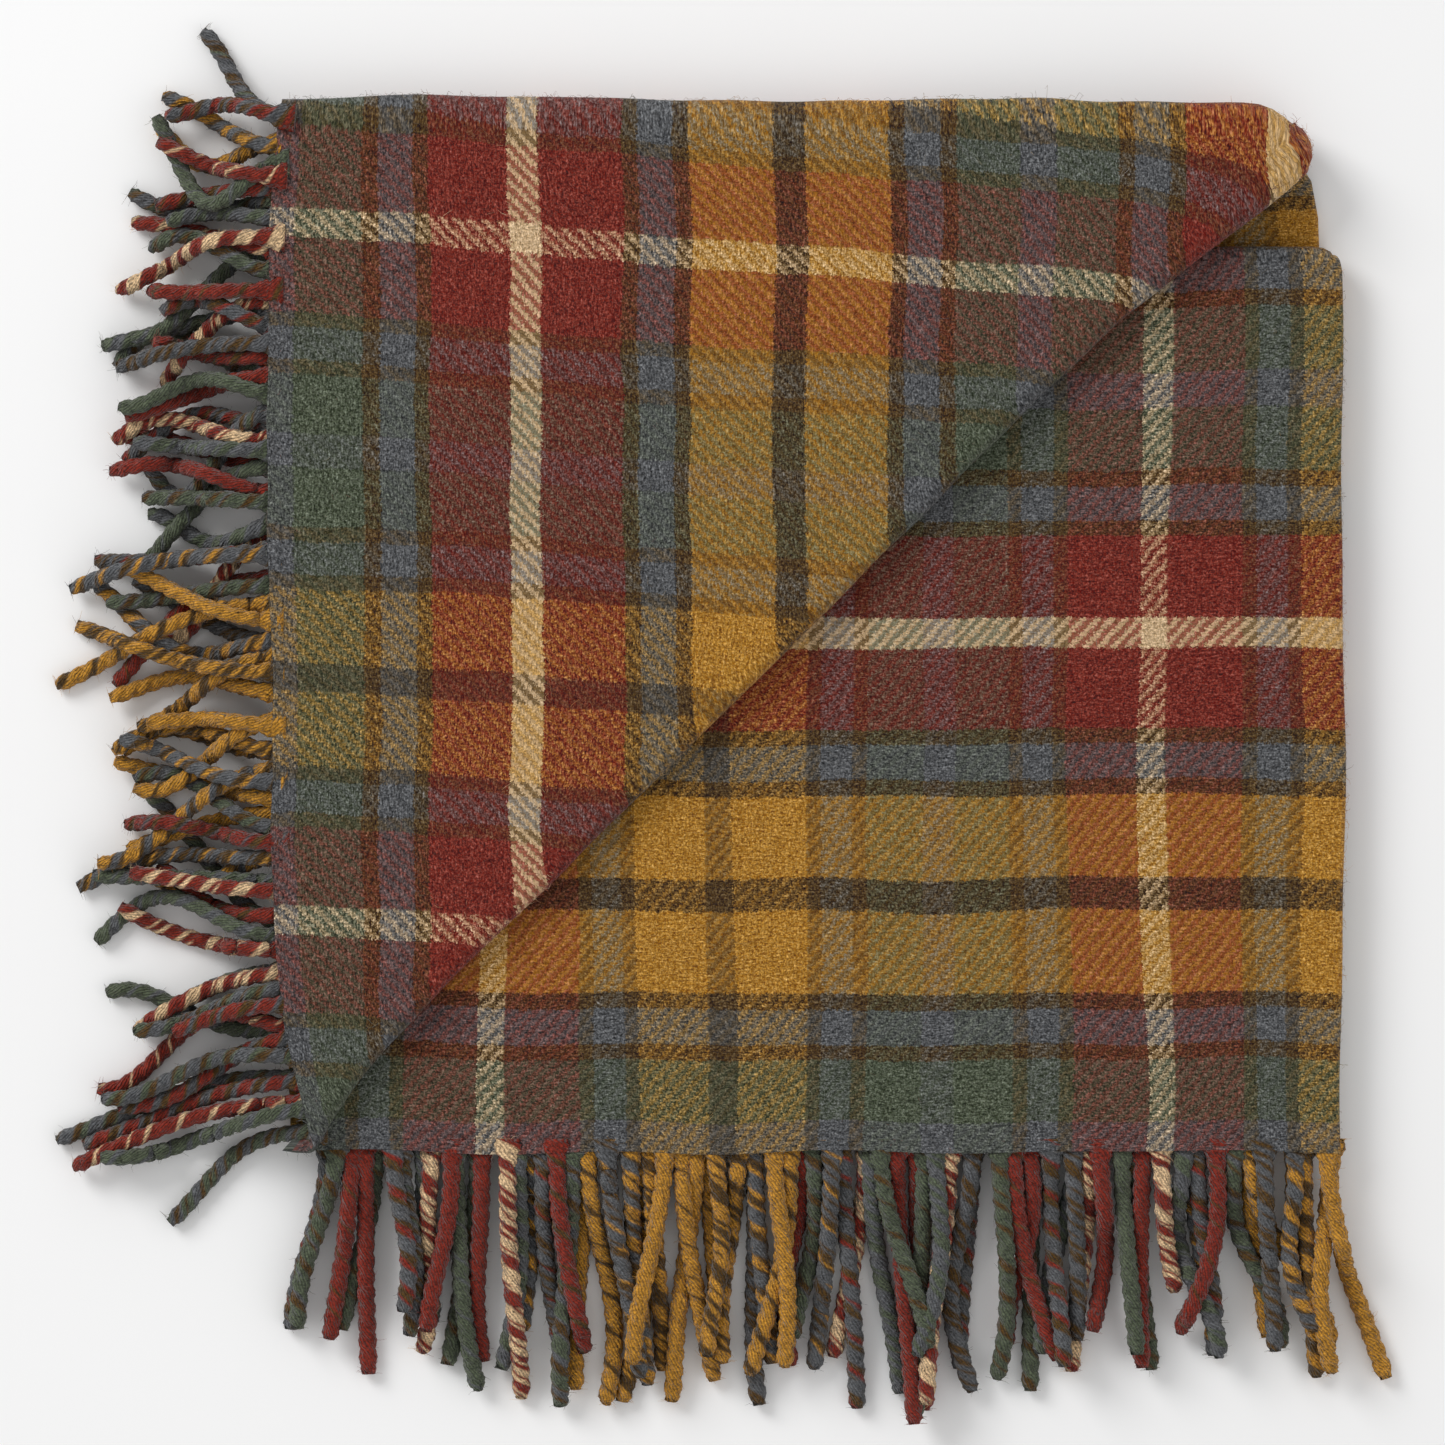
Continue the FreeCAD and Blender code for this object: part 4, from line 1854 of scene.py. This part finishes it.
FRONT_HANG = Hang(
    lean=((0.0, -16.0), (0.08, -4.0), (0.3, 0.0), (0.7, 2.0), (0.9, 6.0), (1.0, 11.0)),
    length=((0.0, 68 * MM), (0.2, 80 * MM), (0.6, 82 * MM), (1.0, 72 * MM)),
    stray=7.0, curl=4.5 * MM, uneven=0.11)
CORNER_HANG = Hang(
    lean=((0.0, -24.0), (0.08, -22.0), (0.16, -9.0), (0.35, 2.0), (0.6, -2.0), (0.85, 0.0), (0.94, 9.0),
          (0.975, 26.0), (1.0, 58.0)),
    length=((0.0, 80 * MM), (0.08, 76 * MM), (0.16, 58 * MM), (0.5, 58 * MM), (0.85, 50 * MM),
            (1.0, 42 * MM)),
    stray=14.0, curl=9.0 * MM, uneven=0.13)


def coats(cloths: dict, rows: list, groups: Groups) -> list:
    """Grows the loose fibres on the cloth and on the tassels.

    Args:
        cloths: The cloth pieces by name.
        rows: The fringe rows.
        groups: The shared shader groups.

    Returns:
        The coats, each with the piece that it grows on.
    """
    hair = LooseFibre(groups).material()
    made = []
    for name, count, seed in (("pack_cloth", 13000, 61), ("turned_cloth", 13000, 62),
                              ("corner_roll", 3600, 63), ("top_cloth", 6000, 64)):
        piece = cloths[name]
        up = face_values(piece, "normal", 3)
        centre = face_values(piece, "center", 3)
        high = float(centre[:, 2].max())
        wanted = np.clip(up[:, 2] * 1.2, 0.0, 1.0) * (centre[:, 2] > high - 6 * MM)
        if name in ("corner_roll", "top_cloth"):
            wanted = np.ones(len(up))
        box_low, box_high = centre.min(axis=0), centre.max(axis=0)
        inset = np.minimum(np.abs(centre[:, :2] - box_low[:2]), np.abs(centre[:, :2] - box_high[:2]))
        rim = inset.min(axis=1)
        wanted = wanted + 4.0 * (rim < 2.5 * MM)
        coat = FibreCoat(count).grow(name + "_fuzz", piece, wanted, seed, hair)
        made.append((coat, piece))
    fuzz = TasselFuzz().material()
    for number, row in enumerate(rows):
        ends = face_values(row, "loop_total", 1)[:, 0] == 3
        coat = FibreCoat(2800, length=3.8 * MM, stand=0.8 * MM).grow(
            row.name + "_fuzz", row, 1.0 + 9.0 * ends, 70 + number, fuzz)
        made.append((coat, row))
    return made


def main() -> None:
    """Builds the throw from its cloth outwards, then its stage, and reports each piece."""
    logging.basicConfig(level=logging.INFO, format="%(message)s")
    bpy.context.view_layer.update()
    layout = Layout.from_frame()
    sett = Sett()
    groups = Groups.build(sett)
    width = WidthFolds(layout)
    length = LengthFolds(layout)
    drape = Drape(layout)
    twill = BrushedTwill(groups).material()
    twisted = TwistedWool(groups).material()
    Studio().build()

    pack = PackCloth(layout, width, length, drape, sett)
    corner = CornerCloth(layout, width, length, drape, sett)
    cloths = {"pack_cloth": pack.build(twill), "top_cloth": corner.top_leaf(twill),
              "corner_roll": corner.roll(twill), "turned_cloth": corner.turned(twill)}

    ground = np.zeros(LAYING_CELLS)
    front = Fringe("front_fringe", "pack", np.array((layout.inner_left, layout.front_edge, 0.0)),
                   np.array((1.0, 0.0, 0.0)), np.array((0.0, -1.0, 0.0)), width.width, layout.upper,
                   FRONT_HANG, width, sett, 7, twist=Twist(radius=3.55 * MM))
    side = Fringe("corner_fringe", "corner_fringe",
                  np.array((layout.corner_edge, layout.corner_tip - 5 * MM, 0.0)),
                  np.array((0.0, 1.0, 0.0)), np.array((-1.0, 0.0, 0.0)), width.width, layout.turned,
                  CORNER_HANG, width, sett, 8, corner.skew, drape.bow)
    front_rows = front.build(ground, LAYING_ORIGIN, LAYING_CELL, twisted)
    side_rows = side.build(ground, LAYING_ORIGIN, LAYING_CELL, twisted)
    for rows, label in ((front_rows, "front"), (side_rows, "corner")):
        for row, name in zip(rows, ("first", "second", "third", "fourth")):
            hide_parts("%s_fringe_%s_row" % (label, name))

    grown = coats(cloths, front_rows + side_rows, groups)
    going = {piece.name: [] for piece in cloths.values()}
    for coat, piece in grown:
        if piece.name == "corner_roll":
            corner.join_roll(coat)
        elif piece.name == "top_cloth":
            corner.join_back(coat)
        elif piece.name == "turned_cloth":
            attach(coat, "turned_corner")
        elif piece in side_rows:
            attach(coat, "corner_fringe")
        else:
            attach(coat, "pack")
        if piece.name in going:
            going[piece.name].append(coat)
        else:
            going["turned_cloth" if piece in side_rows else "pack_cloth"] += [coat, piece]

    pack.flat
    leaf = layout.outer_back_turn - layout.front_edge
    for name, below, flat_length in (("top_cloth", "pack_cloth", leaf + 27 * MM),
                                     ("turned_cloth", "top_cloth", leaf)):
        width.path.length
    corner.roll_length
    corner.areas["corner_roll"] / corner.roll_length

    for piece in list(cloths.values()) + front_rows + side_rows + [coat for coat, _ in grown]:
        LOG.info("%s: %d faces", piece.name, len(piece.data.polygons))


if __name__ == "__main__":
    main()
